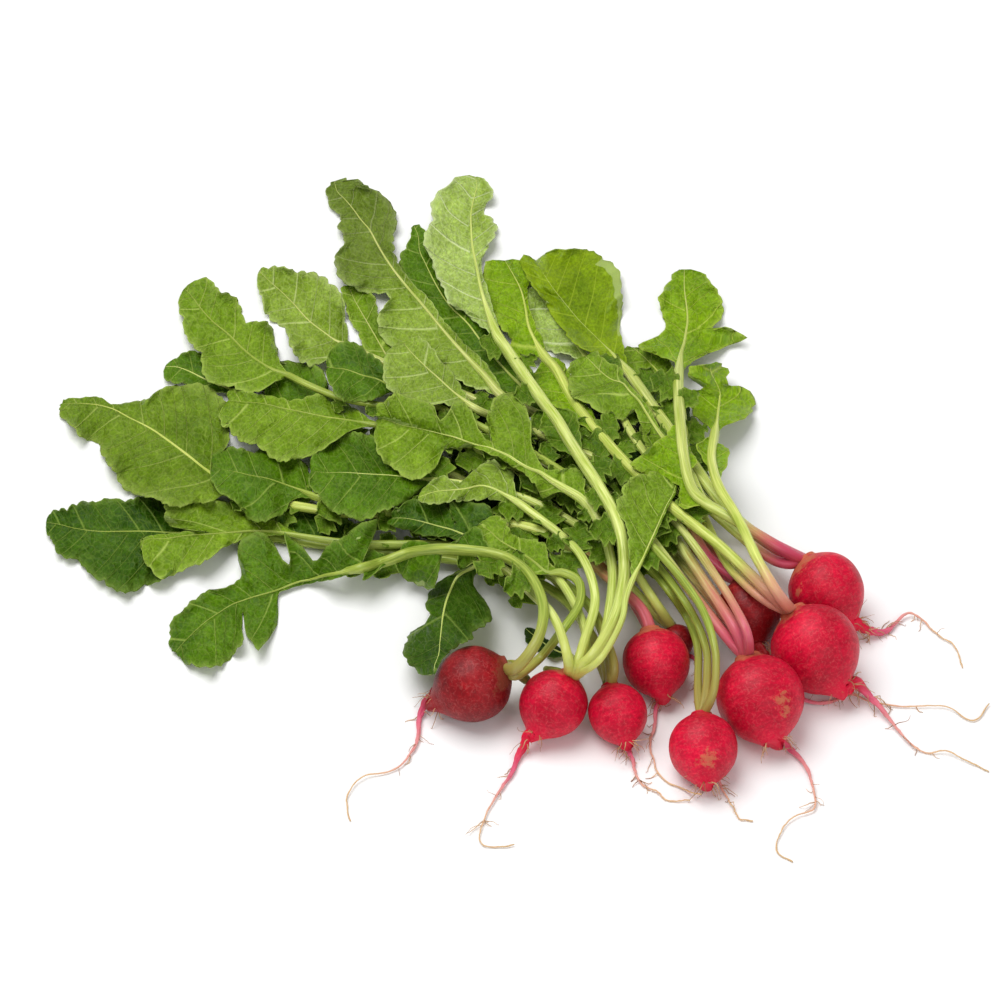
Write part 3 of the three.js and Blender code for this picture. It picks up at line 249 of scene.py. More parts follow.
        [17, 7, 14, 1, 21, 10.5], [13.5, 9.5, 11, 5.5, 15, 11], [9.5, 11, 8, 9.5, 11, 18],
        [6, 13, 4, 11.5, 10, 27.5], [3, 15, 1.5, 13, 6, 36], [1, 16, -0.5, 14.5, -2.5, 34.5],
        [-1.5, 17, -3, 15.5, -4.5, 27], [-4, 18, -6, 17, -3, 20], [-8.5, 19, -10.5, 18, -7, 23],
        [-11.5, 20, -14, 18, -9.5, 30], [-15.5, 21.5, -19, 17.5, -15, 34],
        [-19.5, 22.5, -22, 11.5, -20.5, 27], [-23.5, 23.5, -26.5, 7.5, -23.5, 33.5],
        [-28, 24.5, -33.5, 8.5, -31, 35], [-33, 25.5, -39.5, 13, -36.5, 36.5],
        [-37.5, 27, -42.5, 19.5, -41, 33], [-41.5, 28, -43.5, 25, -43, 30.5]] },
    { "name": "2_a", "stem": 4.4,
      "route": [[30, -55.5], [35, -47.5], [39.5, -37], [42, -23.5], [40, -8.5], [34, 3.5], [27, 14.5],
        [22.5, 21.5, 17, 19, 27, 26], [19, 27.5, 13.5, 24, 25, 30], [15.5, 32], [8, 42.5], [1.5, 52],
        [-1, 55.5], [-4, 63, -8, 60.5, -2, 64], [-6.5, 71, -17.5, 67.5, -4.5, 72],
        [-8, 78.5, -22, 77.5, -6.5, 81.5], [-9.5, 86, -26, 88, -3, 87.5],
        [-10, 92, -24, 94.5, -1.5, 93.5], [-10, 98, -23.5, 100.5, -5.5, 99.5],
        [-9, 103, -20, 106, -2.5, 104], [-8, 107, -15.5, 109.5, -3.5, 108],
        [-8.5, 110, -12, 111, -6.5, 110]] },
    { "name": "2_e", "stem": 3,
      "route": [[23.5, -55.5], [21, -46], [17, -38], [11.5, -32.5], [5, -26.5], [0, -22.5], [-5.5, -21],
        [-11.5, -23.5, -9.5, -27.5, -13.5, -23.5], [-15, -26.5, -4.5, -35.5, -19.5, -26.5],
        [-17, -30.5, -3, -41.5, -23.5, -31], [-18.5, -34.5, -9.5, -44.5, -25.5, -36],
        [-19.5, -39, -9.5, -47.5, -25, -41], [-20, -43.5, -13, -49, -31, -45.5],
        [-20.5, -48, -16.5, -50.5, -33, -49.5], [-21, -52.5, -19, -53, -32, -54.5],
        [-22.5, -56.5, -21, -56.5, -27.5, -59], [-22.5, -59, -22.5, -59.5, -24.5, -59.5]] },
    { "name": "1_a", "stem": 3.8,
      "route": [[4, -58.5], [10, -52], [14, -42.5], [14, -34], [9.5, -25], [3, -20], [-3.5, -18],
        [-11.5, -17, -12.5, -18, -7.5, -9], [-19, -16.5], [-25.5, -17, -23.5, -30.5, -26, -14],
        [-31.5, -18, -33.5, -25.5, -32.5, -14.5], [-37, -20], [-41.5, -21.5, -46.5, -27, -43.5, -16.5],
        [-47, -23], [-52, -24, -53, -25.5, -41.5, -6], [-55.5, -25, -56, -26.5, -53, -11.5],
        [-59.5, -25.5, -60, -27.5, -59.5, -16.5], [-65, -27, -65.5, -28.5, -62.5, -20],
        [-68, -27.5, -69, -29, -73.5, -10.5], [-71, -28.5, -72, -30, -71.5, -20],
        [-74.5, -30, -75.5, -31.5, -73.5, -20.5], [-77.5, -31, -76, -42, -81, -10.5],
        [-81, -32, -82.5, -50.5, -89.5, -15.5], [-84.5, -33, -86.5, -45.5, -88, -26],
        [-87.5, -34, -87.5, -38, -91.5, -28.5], [-91.5, -35.5, -88, -43.5, -99.5, -30.5],
        [-95.5, -38, -87.5, -48.5, -102.5, -33], [-100, -41, -92.5, -54.5, -107.5, -36],
        [-104, -44.5, -99.5, -56.5, -111.5, -41], [-107.5, -48, -105.5, -56.5, -113, -47],
        [-110.5, -51.5, -109, -54, -112.5, -51]] },
    { "name": "8_c", "stem": 3.4,
      "route": [[95, -22.5], [81, -11.5], [69, 0], [64.5, 9], [61, 13.5], [57, 19, 51.5, 16, 58.5, 19.5],
        [53, 24.5, 48, 22.5, 54, 25], [49.5, 30, 45.5, 31, 51, 30.5], [47, 34, 41, 27, 48, 35],
        [44, 37, 31, 32, 45, 38], [41.5, 40, 24.5, 35.5, 42.5, 41.5], [38, 41, 23.5, 38, 41.5, 44.5],
        [34.5, 43.5, 23, 41, 36, 47.5], [31, 47, 22.5, 44.5, 34.5, 50], [29, 49, 25, 48, 32, 51]] },
    { "name": "8_d", "stem": 3.8,
      "route": [[94.5, -16], [79.5, -6.5], [70, -1], [66, 2.5, 61.5, -2.5, 67.5, 4],
        [64, 7, 60, 5, 64.5, 8], [63, 11, 51, 7.5, 65, 10.5], [62.5, 14, 44.5, 12.5, 67, 14],
        [62, 17, 49.5, 17, 65, 16.5], [61, 27.5], [60.5, 37.5], [60.5, 43], [61, 47, 59, 47, 65, 47],
        [61.5, 50.5, 54, 49, 73.5, 51], [62.5, 53.5, 46.5, 52, 83.5, 55.5], [63, 57, 53, 56, 76, 59],
        [63.5, 60, 56.5, 59.5, 72, 57.5], [63.5, 64, 54.5, 64, 75.5, 63], [63, 68, 53.5, 67.5, 75, 68],
        [62.5, 72.5, 56, 72.5, 73.5, 72], [62.5, 76.5, 58, 76.5, 70, 76.5],
        [62.5, 78.5, 60, 78.5, 66, 78.5]] },
    { "name": "7_e", "stem": 3.6,
      "route": [[94.5, -32.5], [87.5, -20], [81, -6.5], [74, 5.5], [72, 13, 70.5, 11.5, 77, 13],
        [72, 16.5, 66.5, 18, 77, 18], [72.5, 20, 69, 20.5, 73.5, 20], [73, 23],
        [73.5, 26, 69, 26.5, 76.5, 25.5], [74, 30, 65, 30, 82.5, 28], [74.5, 34, 64, 36, 87, 32],
        [74.5, 37, 68, 38.5, 83, 38.5], [73, 40.5, 64.5, 42, 77, 39.5],
        [71.5, 43.5, 64, 45.5, 77.5, 44.5], [71.5, 46.5, 68.5, 46, 74.5, 47.5]] },
    { "name": "2_g", "stem": 2.2,
      "route": [[33, -56.5], [37.5, -48.5], [41.5, -39.5], [42.5, -33], [45, -26.5],
        [48, -20.5, 43.5, -20, 49, -20], [50, -16, 43.5, -11.5, 51, -15.5],
        [52.5, -10.5, 40.5, -4.5, 53.5, -10.5], [54.5, -6, 39.5, 0, 55.5, -5.5],
        [56.5, -1.5, 42.5, 5.5, 57.5, -1], [58.5, 2, 48, 9.5, 59.5, 2.5], [59.5, 5, 54.5, 9.5, 60, 5]] },
]


def lin(hexColour):
    parts = [int(hexColour[i:i + 2], 16) / 255 for i in (1, 3, 5)]
    return tuple(p / 12.92 if p <= 0.04045 else ((p + 0.055) / 1.055) ** 2.4 for p in parts) + (1.0,)


# the point at height z that shows at [a, b]
def onRay(a, b, z):
    s, c, d = math.sin(viewAngle), math.cos(viewAngle), viewDistance
    y = (b * (d - z * s) - z * c * d) / (d * s - b * c)
    return np.array((a * (d - z * s + y * c) / d, y, z))


carrier = next(r for r in radishes if r["no"] == "06")
restSpot = onRay(*carrier["at"], carrier["radius"] - bulbFlat) * (1, 1, 0) + foot
eye = np.array((0, -viewDistance * math.cos(viewAngle), viewDistance * math.sin(viewAngle)))


def toRow(p):
    return (np.asarray(p) - restSpot) * mm


# a smooth line through points, asked by place: 0 is the first point, 1 the second and so on
class Curve:
    steps = 24

    def __init__(self, points):
        p = [np.array(q, float) for q in points]
        p = [2 * p[0] - p[1]] + p + [2 * p[-1] - p[-2]]
        self.last = len(p) - 3
        rows = []
        for i in range(self.last):
            a, b, c, d = p[i:i + 4]
            ab, bc, cd = (max(float(np.dot(v, v)) ** 0.25, 1e-4) for v in (b - a, c - b, d - c))
            m1 = ((b - a) / ab - (c - a) / (ab + bc) + (c - b) / bc) * bc
            m2 = ((c - b) / bc - (d - b) / (bc + cd) + (d - c) / cd) * bc
            w = np.arange(self.steps)[:, None] / self.steps
            rows.append(b + m1 * w + (3 * (c - b) - 2 * m1 - m2) * w ** 2 + (2 * (b - c) + m1 + m2) * w ** 3)
        rows.append(p[-2][None, :])
        self.table = np.vstack(rows)
        self.place = np.arange(len(self.table)) / self.steps
        self.far = np.concatenate(([0], np.cumsum(np.linalg.norm(np.diff(self.table, axis=0), axis=1))))

    def at(self, place):
        return np.array([np.interp(place, self.place, column) for column in self.table.T]).T

    def farAt(self, place):
        return float(np.interp(place, self.place, self.far))

    def placeAt(self, far):
        return float(np.interp(far, self.far, self.place))

    def heading(self, place):
        t = self.at(min(place + 0.08, self.last)) - self.at(max(place - 0.08, 0))
        return t / max(np.linalg.norm(t), 1e-6)


# smooth value between list entries
def smoothAt(values, s):
    s = min(max(s, 0), len(values) - 1)
    i = min(int(s), len(values) - 2)
    w = s - i
    b, c = values[i], values[i + 1]
    m1 = (c - values[max(i - 1, 0)]) / 2
    m2 = (values[min(i + 2, len(values) - 1)] - b) / 2
    return b + m1 * w + (3 * (c - b) - 2 * m1 - m2) * w ** 2 + (2 * (b - c) + m1 + m2) * w ** 3


def wander(x, seed):
    return noise.noise(Vector((x, seed * 7.31, 0.5)))


def newMesh(name, points, faces, materials, slotIndex):
    mesh = bpy.data.meshes.new(name)
    inBox = np.clip([toRow(p) for p in points], *cadBox)
    mesh.from_pydata([tuple(p) for p in inBox], [], faces)
    for m in materials:
        mesh.materials.append(m)
    mesh.polygons.foreach_set("material_index", slotIndex)
    mesh.polygons.foreach_set("use_smooth", [True] * len(mesh.polygons))
    mesh.update()
    obj = bpy.data.objects.new(name, mesh)
    bpy.context.scene.collection.objects.link(obj)
    return obj


def addSpots(obj, name, values):
    uv = obj.data.uv_layers.new(name=name)
    loops = np.empty(len(obj.data.loops), int)
    obj.data.loops.foreach_get("vertex_index", loops)
    uv.data.foreach_set("uv", np.asarray(values, float)[loops].ravel())


def addNumber(obj, name, values):
    layer = obj.data.attributes.new(name, "FLOAT", "POINT")
    layer.data.foreach_set("value", np.asarray(values, float))


def ringFaces(start, rows, sides):
    faces = []
    for i in range(rows - 1):
        for j in range(sides):
            k = (j + 1) % sides
            a = start + i * sides
            faces.append((a + j, a + k, a + k + sides, a + j + sides))
    faces.append(tuple(start + j for j in reversed(range(sides))))
    faces.append(tuple(start + (rows - 1) * sides + j for j in range(sides)))
    return faces


# rings round a path, each turned as little as possible from the one before
def tubeRings(path, radii, sides, form=None):
    path = np.asarray(path, float)
    rings = []
    side = np.array((0.0, 0.0, 1.0))
    for i in range(len(path)):
        t = path[min(i + 1, len(path) - 1)] - path[max(i - 1, 0)]
        t /= max(np.linalg.norm(t), 1e-9)
        side = side - t * np.dot(side, t)
        if np.linalg.norm(side) < 1e-3:
            side = np.cross(t, (1.0, 0, 0))
        side /= np.linalg.norm(side)
        other = np.cross(t, side)
        for j in range(sides):
            angle = 2 * math.pi * j / sides
            r = radii[i] * (form(i, angle) if form else 1)
            rings.append(path[i] + r * (side * math.cos(angle) + other * math.sin(angle)))
    return rings


# one shader node, given back as the output that is used: settings by name, ramp stops, and inputs as a
# value, a hex colour or another node's output
def addNode(tree, kind, inputs=None, stops=(), out=0, **settings):
    node = tree.nodes.new("ShaderNode" + kind)
    for key, value in settings.items():
        setattr(node, key, value)
    for k, (at, colour) in enumerate(stops):
        if k >= len(node.color_ramp.elements):
            node.color_ramp.elements.new(at)
        node.color_ramp.elements[k].position = at
        node.color_ramp.elements[k].color = lin(colour) if isinstance(colour, str) else (colour,) * 3 + (1,)
    for key, value in (inputs or {}).items():
        if isinstance(value, bpy.types.NodeSocket):
            tree.links.new(value, node.inputs[key])
        else:
            node.inputs[key].default_value = lin(value) if isinstance(value, str) else value
    return node.outputs[out] if node.outputs else None


# settings of a Mix node for two colours, and of one that multiplies them
mixed = {"out": 2, "data_type": "RGBA"}
multiplied = {**mixed, "blend_type": "MULTIPLY"}


def newMaterial(name):
    material = bpy.data.materials.new(name)
    material.use_nodes = True
    material.node_tree.nodes.clear()
    return material, material.node_tree


leafSurface = {
    "net": 42.0,  # cells of 2.4 mm between the finest veins
    "netTint": 0.16,
    "netBend": (0.016, 0.016, 0.016),  # how far the net is pushed out of true
    "pillow": 19.0,  # puckers of 5 mm
    "mottle": 5.0,  # deep and light green in patches of 20 mm
    "speck": 110.0,  # grain of 0.9 mm
    "smallVeinTint": 0.13,
    "sideVeinTint": 0.75,
    # a thin painted highlight along the edge of each blade
    "rimHighlight": 0.5,
    "underside": "#a9bb70",
    "relief": 0.0006,  # in metres, as is every relief below
    "specular": 0.14,
}


# leaf blade: soft satin green, puckered between paler side veins, a net of finer ones between them
def leafMaterial(name, deep, light, veinTint, rough, relief=1.0):
    material, tree = newMaterial(name)
    uv = addNode(tree, "UVMap", uv_map="leafMap")
    bendy = addNode(tree, "TexNoise", {"Vector": uv, "Scale": 30.0, "Detail": 2.0}, out="Color")
    bent = addNode(tree, "VectorMath", {0: bendy, 1: leafSurface["netBend"], 2: uv}, operation="MULTIPLY_ADD")
    across = addNode(tree, "Math", {0: addNode(tree, "SeparateXYZ", {0: uv})}, operation="ABSOLUTE")
    veins, under, rim, dim = (addNode(tree, "Attribute", out="Fac", attribute_name=layer)
                              for layer in ("veins", "underside", "rim", "dim"))
    # side veins lie where the count up the blade is whole, finer ones at its quarters
    count = addNode(tree, "Math", {0: veins}, operation="FRACT")
    aside = addNode(tree, "Math", {0: count, 1: 0.5}, operation="PINGPONG")
    sideWidth = addNode(tree, "MapRange", {0: across, 1: 0.0, 2: 0.2, 3: 0.055, 4: 0.022})
    sideVeins = addNode(tree, "MapRange", {0: aside, 1: 0.0, 2: sideWidth, 3: 1.0, 4: 0.0})
    stray = addNode(tree, "TexNoise", {"Vector": uv, "Scale": 24.0, "Detail": 1.0})
    stray = addNode(tree, "Math", {0: stray, 1: 1.6}, operation="MULTIPLY")
    quarters = addNode(tree, "Math", {0: veins, 1: 4.0, 2: stray}, operation="MULTIPLY_ADD")
    quarters = addNode(tree, "Math", {0: quarters}, operation="FRACT")
    small = addNode(tree, "Math", {0: quarters, 1: 0.5}, operation="PINGPONG")
    smallVeins = addNode(tree, "MapRange", {0: small, 1: 0.0, 2: 0.12, 3: 1.0, 4: 0.0})
    net, pillow = (addNode(tree, "TexVoronoi", {"Vector": bent, "Scale": leafSurface[part]},
                           feature="DISTANCE_TO_EDGE") for part in ("net", "pillow"))
    netLines = addNode(tree, "MapRange", {0: net, 1: 0.0, 2: 0.11, 3: 1.0, 4: 0.0})
    mottle, speck = (addNode(tree, "TexNoise", {
        "Vector": uv, "Scale": leafSurface[part], "Detail": detail, "Roughness": 0.6})
        for part, detail in (("mottle", 6.0), ("speck", 4.0)))

    colour = addNode(tree, "ValToRGB", {0: mottle}, [(0.34, deep), (0.66, light)])
    grain = addNode(tree, "ValToRGB", {0: speck}, [(0.34, 0.72), (0.66, 1.24)])
    # painted shade in the dips between the puckers, with a little painted light on their raised tops
    paintedPuckerShade = addNode(tree, "ValToRGB", {0: pillow}, [(0.0, 0.86), (0.28, 1.05)])
    for part in (grain, paintedPuckerShade):
        colour = addNode(tree, "Mix", {0: 1.0, 6: colour, 7: part}, **multiplied)
    # paler lines over the green, and a painted highlight along the rim
    for mask, share in ((netLines, "netTint"), (smallVeins, "smallVeinTint"), (sideVeins, "sideVeinTint"),
                        (rim, "rimHighlight")):
        part = addNode(tree, "Math", {0: mask, 1: leafSurface[share]}, operation="MULTIPLY")
        colour = addNode(tree, "Mix", {0: part, 6: colour, 7: veinTint}, **mixed)
    # darkened by the dim attribute: painted shade on the upper part of 6_b, a plainly darker green on the
    # other leaves listed in dims
    dim = addNode(tree, "MapRange", {0: dim, 3: 1.0, 4: 0.5})
    colour = addNode(tree, "Mix", {0: 1.0, 6: colour, 7: dim}, **multiplied)
    below = addNode(tree, "MapRange", {0: under, 1: 0.7, 2: 0.9, 3: 0.0, 4: 0.65})
    colour = addNode(tree, "Mix", {0: below, 6: colour, 7: leafSurface["underside"]}, **mixed)

    height = addNode(tree, "Math", {0: pillow, 1: 0.35}, operation="MINIMUM")
    height = addNode(tree, "Math", {0: height, 1: 3.0}, operation="MULTIPLY")
    for part, depth in ((netLines, -0.2), (smallVeins, -0.08), (sideVeins, -0.5), (speck, 0.5)):
        height = addNode(tree, "Math", {0: part, 1: depth, 2: height}, operation="MULTIPLY_ADD")
    bump = addNode(tree, "Bump", {"Height": height, "Strength": relief, "Distance": leafSurface["relief"]})
    sheen = addNode(tree, "MapRange", {0: speck, 1: 0.3, 2: 0.7, 3: rough - 0.08, 4: rough + 0.1})
    shader = addNode(tree, "BsdfPrincipled", {
        "Base Color": colour, "Roughness": sheen, "Normal": bump,
        "Specular IOR Level": leafSurface["specular"],
        "Subsurface Weight": 0.05, "Subsurface Radius": (0.3, 0.6, 0.05), "Subsurface Scale": 0.002})
    addNode(tree, "OutputMaterial", {0: shader})
    return material


# petiole and midrib: blushed at the crown, then watery pale green with fine ridges along it
def stalkMaterial(name, base, blushLength, green, light):
    material, tree = newMaterial(name)
    uv = addNode(tree, "UVMap", uv_map="leafMap")
    up = addNode(tree, "SeparateXYZ", {0: uv}, out=1)
    drawn = addNode(tree, "Mapping", {"Vector": uv, "Scale": (60.0, 3.0, 1.0)})  # ridges 0.5 mm wide
    streak = addNode(tree, "TexNoise", {"Vector": drawn, "Scale": 3.0, "Detail": 3.0})
    tone = addNode(tree, "ValToRGB", {0: streak}, [(0.3, green), (0.7, light)])
    far = addNode(tree, "Math", {0: up, 1: mapUnit / blushLength, 2: -0.35}, operation="MULTIPLY_ADD")
    far = addNode(tree, "Math", {0: streak, 1: 0.7, 2: far}, operation="MULTIPLY_ADD")
    blush = addNode(tree, "ValToRGB", {0: far}, [(0.0, 1.0), (0.4, 0.7), (1.0, 0.0)])
    colour = addNode(tree, "Mix", {0: blush, 6: tone, 7: base}, **mixed)
    bump = addNode(tree, "Bump", {"Height": streak, "Strength": 0.5, "Distance": 0.0004})
    shader = addNode(tree, "BsdfPrincipled", {
        "Base Color": colour, "Roughness": 0.34, "Normal": bump, "Specular IOR Level": 0.4,
        "Subsurface Weight": 0.1, "Subsurface Radius": (0.4, 0.6, 0.15), "Subsurface Scale": 0.002})
    addNode(tree, "OutputMaterial", {0: shader})
    return material


skinLook = {
    "spots": 60.0,  # deep and plain red in patches of 17 mm
    "flecks": 1100.0,  # 0.9 mm
    "fleckShare": 0.08,
    "crazing": 420.0,  # lines 2 mm apart
    "crazingShare": 0.15,
    "pale": "#e3837c",
    "rings": (7.0, 150.0, 1.0),  # grain drawn out round the root and the bulb
    "dirt": 120.0,  # ragged patches of 8 mm
    "dirtShare": 0.55,
    "root": [(0.12, "#dab682"), (0.4, "#e6c298"), (0.64, "#e79f98"), (0.82, "#dc5c7c")],  # thread end first
    "relief": 0.0005,
    "specular": 0.22,
}


# radish skin: washed, tight and satin, crimson with fine deeper flecks and pale crazing, tan scuffs round
# the crown and the root, paling to pink and cream down the root
def skinMaterial(name, skin, deep, scuff, scuffShare):
    material, tree = newMaterial(name)
    uv = addNode(tree, "UVMap", uv_map="skinMap")
    place = addNode(tree, "TexCoord", out="Object")
    spots = addNode(tree, "TexNoise", {
        "Vector": place, "Scale": skinLook["spots"], "Detail": 8.0, "Roughness": 0.68})
    flecks = addNode(tree, "TexNoise", {"Vector": place, "Scale": skinLook["flecks"], "Detail": 3.0})
    crazing = addNode(tree, "TexNoise", {
        "Vector": place, "Scale": skinLook["crazing"], "Detail": 4.0, "Distortion": 0.8})
    rings = addNode(tree, "Mapping", {"Vector": uv, "Scale": skinLook["rings"]})
    grain = addNode(tree, "TexNoise", {"Vector": rings, "Scale": 2.5, "Detail": 5.0})
    dirt = addNode(tree, "TexNoise", {
        "Vector": place, "Scale": skinLook["dirt"], "Detail": 10.0, "Roughness": 0.78})
    scuffPlace, onRoot = (addNode(tree, "Attribute", out="Fac", attribute_name=layer)
                          for layer in ("scuff", "rootness"))

    tone = addNode(tree, "ValToRGB", {0: spots}, [(0.36, deep), (0.64, skin)])
    for part, low, high in ((flecks, 0.88, 1.1), (grain, 0.84, 1.12)):
        shade = addNode(tree, "ValToRGB", {0: part}, [(0.35, low), (0.65, high)])
        tone = addNode(tree, "Mix", {0: 1.0, 6: tone, 7: shade}, **multiplied)
    # down the root: skin red, pink, salmon, cream at the thread end
    down = addNode(tree, "SeparateXYZ", {0: uv}, out=1)
    down = addNode(tree, "Math", {0: spots, 1: 0.25, 2: down}, operation="MULTIPLY_ADD")
    rootTone = addNode(tree, "ValToRGB", {0: down}, [*skinLook["root"], (0.97, skin)])
    colour = addNode(tree, "Mix", {0: onRoot, 6: tone, 7: rootTone}, **mixed)
    dots = addNode(tree, "MapRange", {0: flecks, 1: 0.6, 2: 0.7, 3: 0.0, 4: skinLook["fleckShare"]})
    lines = addNode(tree, "ValToRGB", {0: crazing}, [
        (0.47, 0.0), (0.5, skinLook["crazingShare"]), (0.53, 0.0)])
    for mask in (dots, lines):
        colour = addNode(tree, "Mix", {0: mask, 6: colour, 7: skinLook["pale"]}, **mixed)
    # dry outer skin and soil, ragged patches and thin rings
    worn = addNode(tree, "Math", {0: grain, 1: 0.22, 2: dirt}, operation="MULTIPLY_ADD")
    worn = addNode(tree, "Math", {0: scuffPlace, 1: 0.27, 2: worn}, operation="MULTIPLY_ADD")
    mask = addNode(tree, "MapRange", {0: worn, 1: 0.79 - scuffShare, 2: 0.85 - scuffShare, 3: 0.0, 4: 1.0})
    dusty = addNode(tree, "Math", {0: mask, 1: skinLook["dirtShare"]}, operation="MULTIPLY")
    colour = addNode(tree, "Mix", {0: dusty, 6: colour, 7: scuff}, **mixed)
    sheen = addNode(tree, "MapRange", {0: mask, 3: 0.42, 4: 0.7})
    height = addNode(tree, "Math", {0: dirt, 1: 0.6}, operation="MULTIPLY")
    for part, depth in ((grain, 0.7), (flecks, 0.3)):
        height = addNode(tree, "Math", {0: part, 1: depth, 2: height}, operation="MULTIPLY_ADD")
    bump = addNode(tree, "Bump", {"Height": height, "Strength": 0.5, "Distance": skinLook["relief"]})
    shader = addNode(tree, "BsdfPrincipled", {
        "Base Color": colour, "Roughness": sheen, "Normal": bump,
        "Specular IOR Level": skinLook["specular"]})
    addNode(tree, "OutputMaterial", {0: shader})
    return material


# what is left of cut stalks: green and brown, dry at the end
def stubMaterial():
    material, tree = newMaterial("Cut stalk stub")
    place = addNode(tree, "TexCoord", out="Object")
    patch = addNode(tree, "TexNoise", {"Vector": place, "Scale": 210.0, "Detail": 4.0})  # patches of 5 mm
    tone = addNode(tree, "ValToRGB", {0: patch}, [(0.35, "#6d7a22"), (0.5, "#9a9a3c"), (0.66, "#b98f5c")])
    bump = addNode(tree, "Bump", {"Height": patch, "Strength": 0.5, "Distance": 0.0006})
    shader = addNode(tree, "BsdfPrincipled", {"Base Color": tone, "Roughness": 0.55, "Normal": bump})
    addNode(tree, "OutputMaterial", {0: shader})
    return material


# rootlets: dry threads, cream to brown along them
def hairMaterial():
    material, tree = newMaterial("Dry rootlets")
    place = addNode(tree, "TexCoord", out="Object")
    patch = addNode(tree, "TexNoise", {"Vector": place, "Scale": 160.0, "Detail": 3.0})  # patches of 6 mm
    tone = addNode(tree, "ValToRGB", {0: patch}, [(0.35, "#8f5f38"), (0.65, "#d9b487")])
    shader = addNode(tree, "BsdfPrincipled", {"Base Color": tone, "Roughness": 0.6})
    addNode(tree, "OutputMaterial", {0: shader})
    return material


# heights at which the view ray through [a, b] meets a node, nearest first
def castAt(tree, a, b):
    way = Vector(onRay(a, b, -5.0) - eye).normalized()
    origin = Vector(toRow(eye))
    hits = []
    for _ in range(8):  # eight walls at most
        spot, _, _, _ = tree.ray_cast(origin, way)
        if spot is None:
            break
        hits.append(spot.z / mm)
        origin = spot + way * 1e-5
    return hits


def treeOf(*nodes):
    points, faces = [], []
    for node in nodes:
        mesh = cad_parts[node].data
        faces += [[v + len(points) for v in p.vertices] for p in mesh.polygons]
        points += [v.co for v in mesh.vertices]
    return BVHTree.FromPolygons(points, faces)


# share of the radius along the axis from the root end to the crown, and across it
bulbProfile = [
    (-1.16, 0.24), (-1.0, 0.42), (-0.78, 0.68), (-0.45, 0.91), (-0.08, 1.0),
    (0.3, 0.965), (0.62, 0.8), (0.84, 0.55), (0.96, 0.36), (1.06, 0.3),
]

# pulled-off stalks: where each ends, how high, and how thick
stubs = {
    "01": [(8.5, -57.2, 9.5, 4.2), (8.8, -61.0, 8.0, 3.6)],
    "03": [(36.4, -55.5, 9.5, 4.6), (34.2, -56.5, 8.5, 3.4)],
    "02": [(15.5, -57.5, 9.0, 2.6)],
}

# worn and soiled patches of the skin: where each shows and how wide it is
soil = {
    "01": [(1.5, -63.5, 9.0), (-12, -58, 7.0)],
    "02": [(20, -61, 6.0)],
    "04": [(51, -46.5, 9.0), (57, -64, 7.0)],
    "05": [(72, -88.5, 8.0)],
    "06": [(96, -68, 10.0), (84, -54, 8.0)],
    "07": [(120, -57, 8.0), (97, -40, 9.0)],
    "08": [(104, -25, 12.0), (118, -38, 7.0)],
}

bulbLook = {
    "rings": 80,
    "sides": 72,
    "crownTilt": 0.35,  # how far the crown end is lifted, in radians
    "crownSeat": 0.98,  # where the stalks start, as a share of the radius
    "neckShare": 0.19,  # root at the bulb, as a share of the bulb's radius
    "tipRadius": 0.22,
    "rootTaper": 4.0,
    "rootRows": 120,
    "rootShare": 0.92,  # share of the skin map that the root takes
    "rootSway": 0.55,
    "lumps": 0.3,
    "pinch": 0.012,  # depth of the soft creases from end to end, as a share of the radius
    "rootRibs": 0.02,
    "crownRibs": 0.03,
    "hairRadius": 0.14,
    "hairThickness": (0.7, 1.5),  # thinnest and thickest, as shares of that radius
    "hairSides": 5,
    "hairSteps": 7,
    "hairCurl": 0.45,
    "hairDroop": 0.18,
    "hairsOnRoot": 8,
    "hairsFrom": (0.3, 0.8),  # where on the root they grow, from its tip
    "hairLength": (3, 8),
    "beardLength": (2.5, 9),
    "beard": {"10": 3, "09": 14, "08": 46, "07": 40, "06": 22,  # rootlets at the neck of each root
              "05": 34, "03": 16, "02": 12, "01": 20, "04": 20},
    "stubSides": 14,
    "stubSteps": 9,
    "stubSeat": 0.95,  # where cut stalks start, as a share of the radius
    "stubArch": 0.9,
}


def bulbAxis(radish):
    rest = radish["radius"] - bulbFlat
    middle = onRay(*radish["at"], rest)
    axis = (onRay(*radish["crown"], rest) - middle) * (1, 1, 0)
    axis = axis / np.linalg.norm(axis) * math.cos(bulbLook["crownTilt"])
    return middle, axis + (0, 0, math.sin(bulbLook["crownTilt"]))


# the root from its tip to the bulb: middle, radius, place on the skin map and rootness of each ring
def rootRings(radish, middle, axis):
    number, radius = int(radish["no"]), radish["radius"]
    tree = treeOf("radish_" + radish["no"])
    points = []
    for a, b in radish["root"]:
        hits = castAt(tree, a, b)
        z = (hits[-1] + hits[-2]) / 2 if len(hits) > 1 else 0.8
        points.append(onRay(a, b, max(z, 0.5)))
    root = Curve([*points[::-1], middle + axis * bulbProfile[0][0] * radius])
    neck, tip, rows = radius * bulbLook["neckShare"], bulbLook["tipRadius"], bulbLook["rootRows"]
    rings = []
    for k in range(rows):
        share = k / rows
        thin = tip + (neck - tip) * share ** bulbLook["rootTaper"]
        shift = np.array([wander(share * 13, number + 0.3), wander(share * 13, number + 4.1), 0.0])
        fine = np.array([wander(share * 50, number + 0.7), wander(share * 50, number + 5.2), 0.0])
        spot = root.at(root.placeAt(share * root.far[-1]))
        spot = spot + (shift + fine * 0.4) * bulbLook["rootSway"] * (1 - share) ** 0.5
        spot = np.array((spot[0], spot[1], max(spot[2], thin * 0.9)))
        knots = 1 + 0.22 * wander(share * 38, number + 9.4) + 0.1 * wander(share * 90, number + 2.2)
        rings.append((spot, thin * knots, share * bulbLook["rootShare"], 1.0))
    return rings


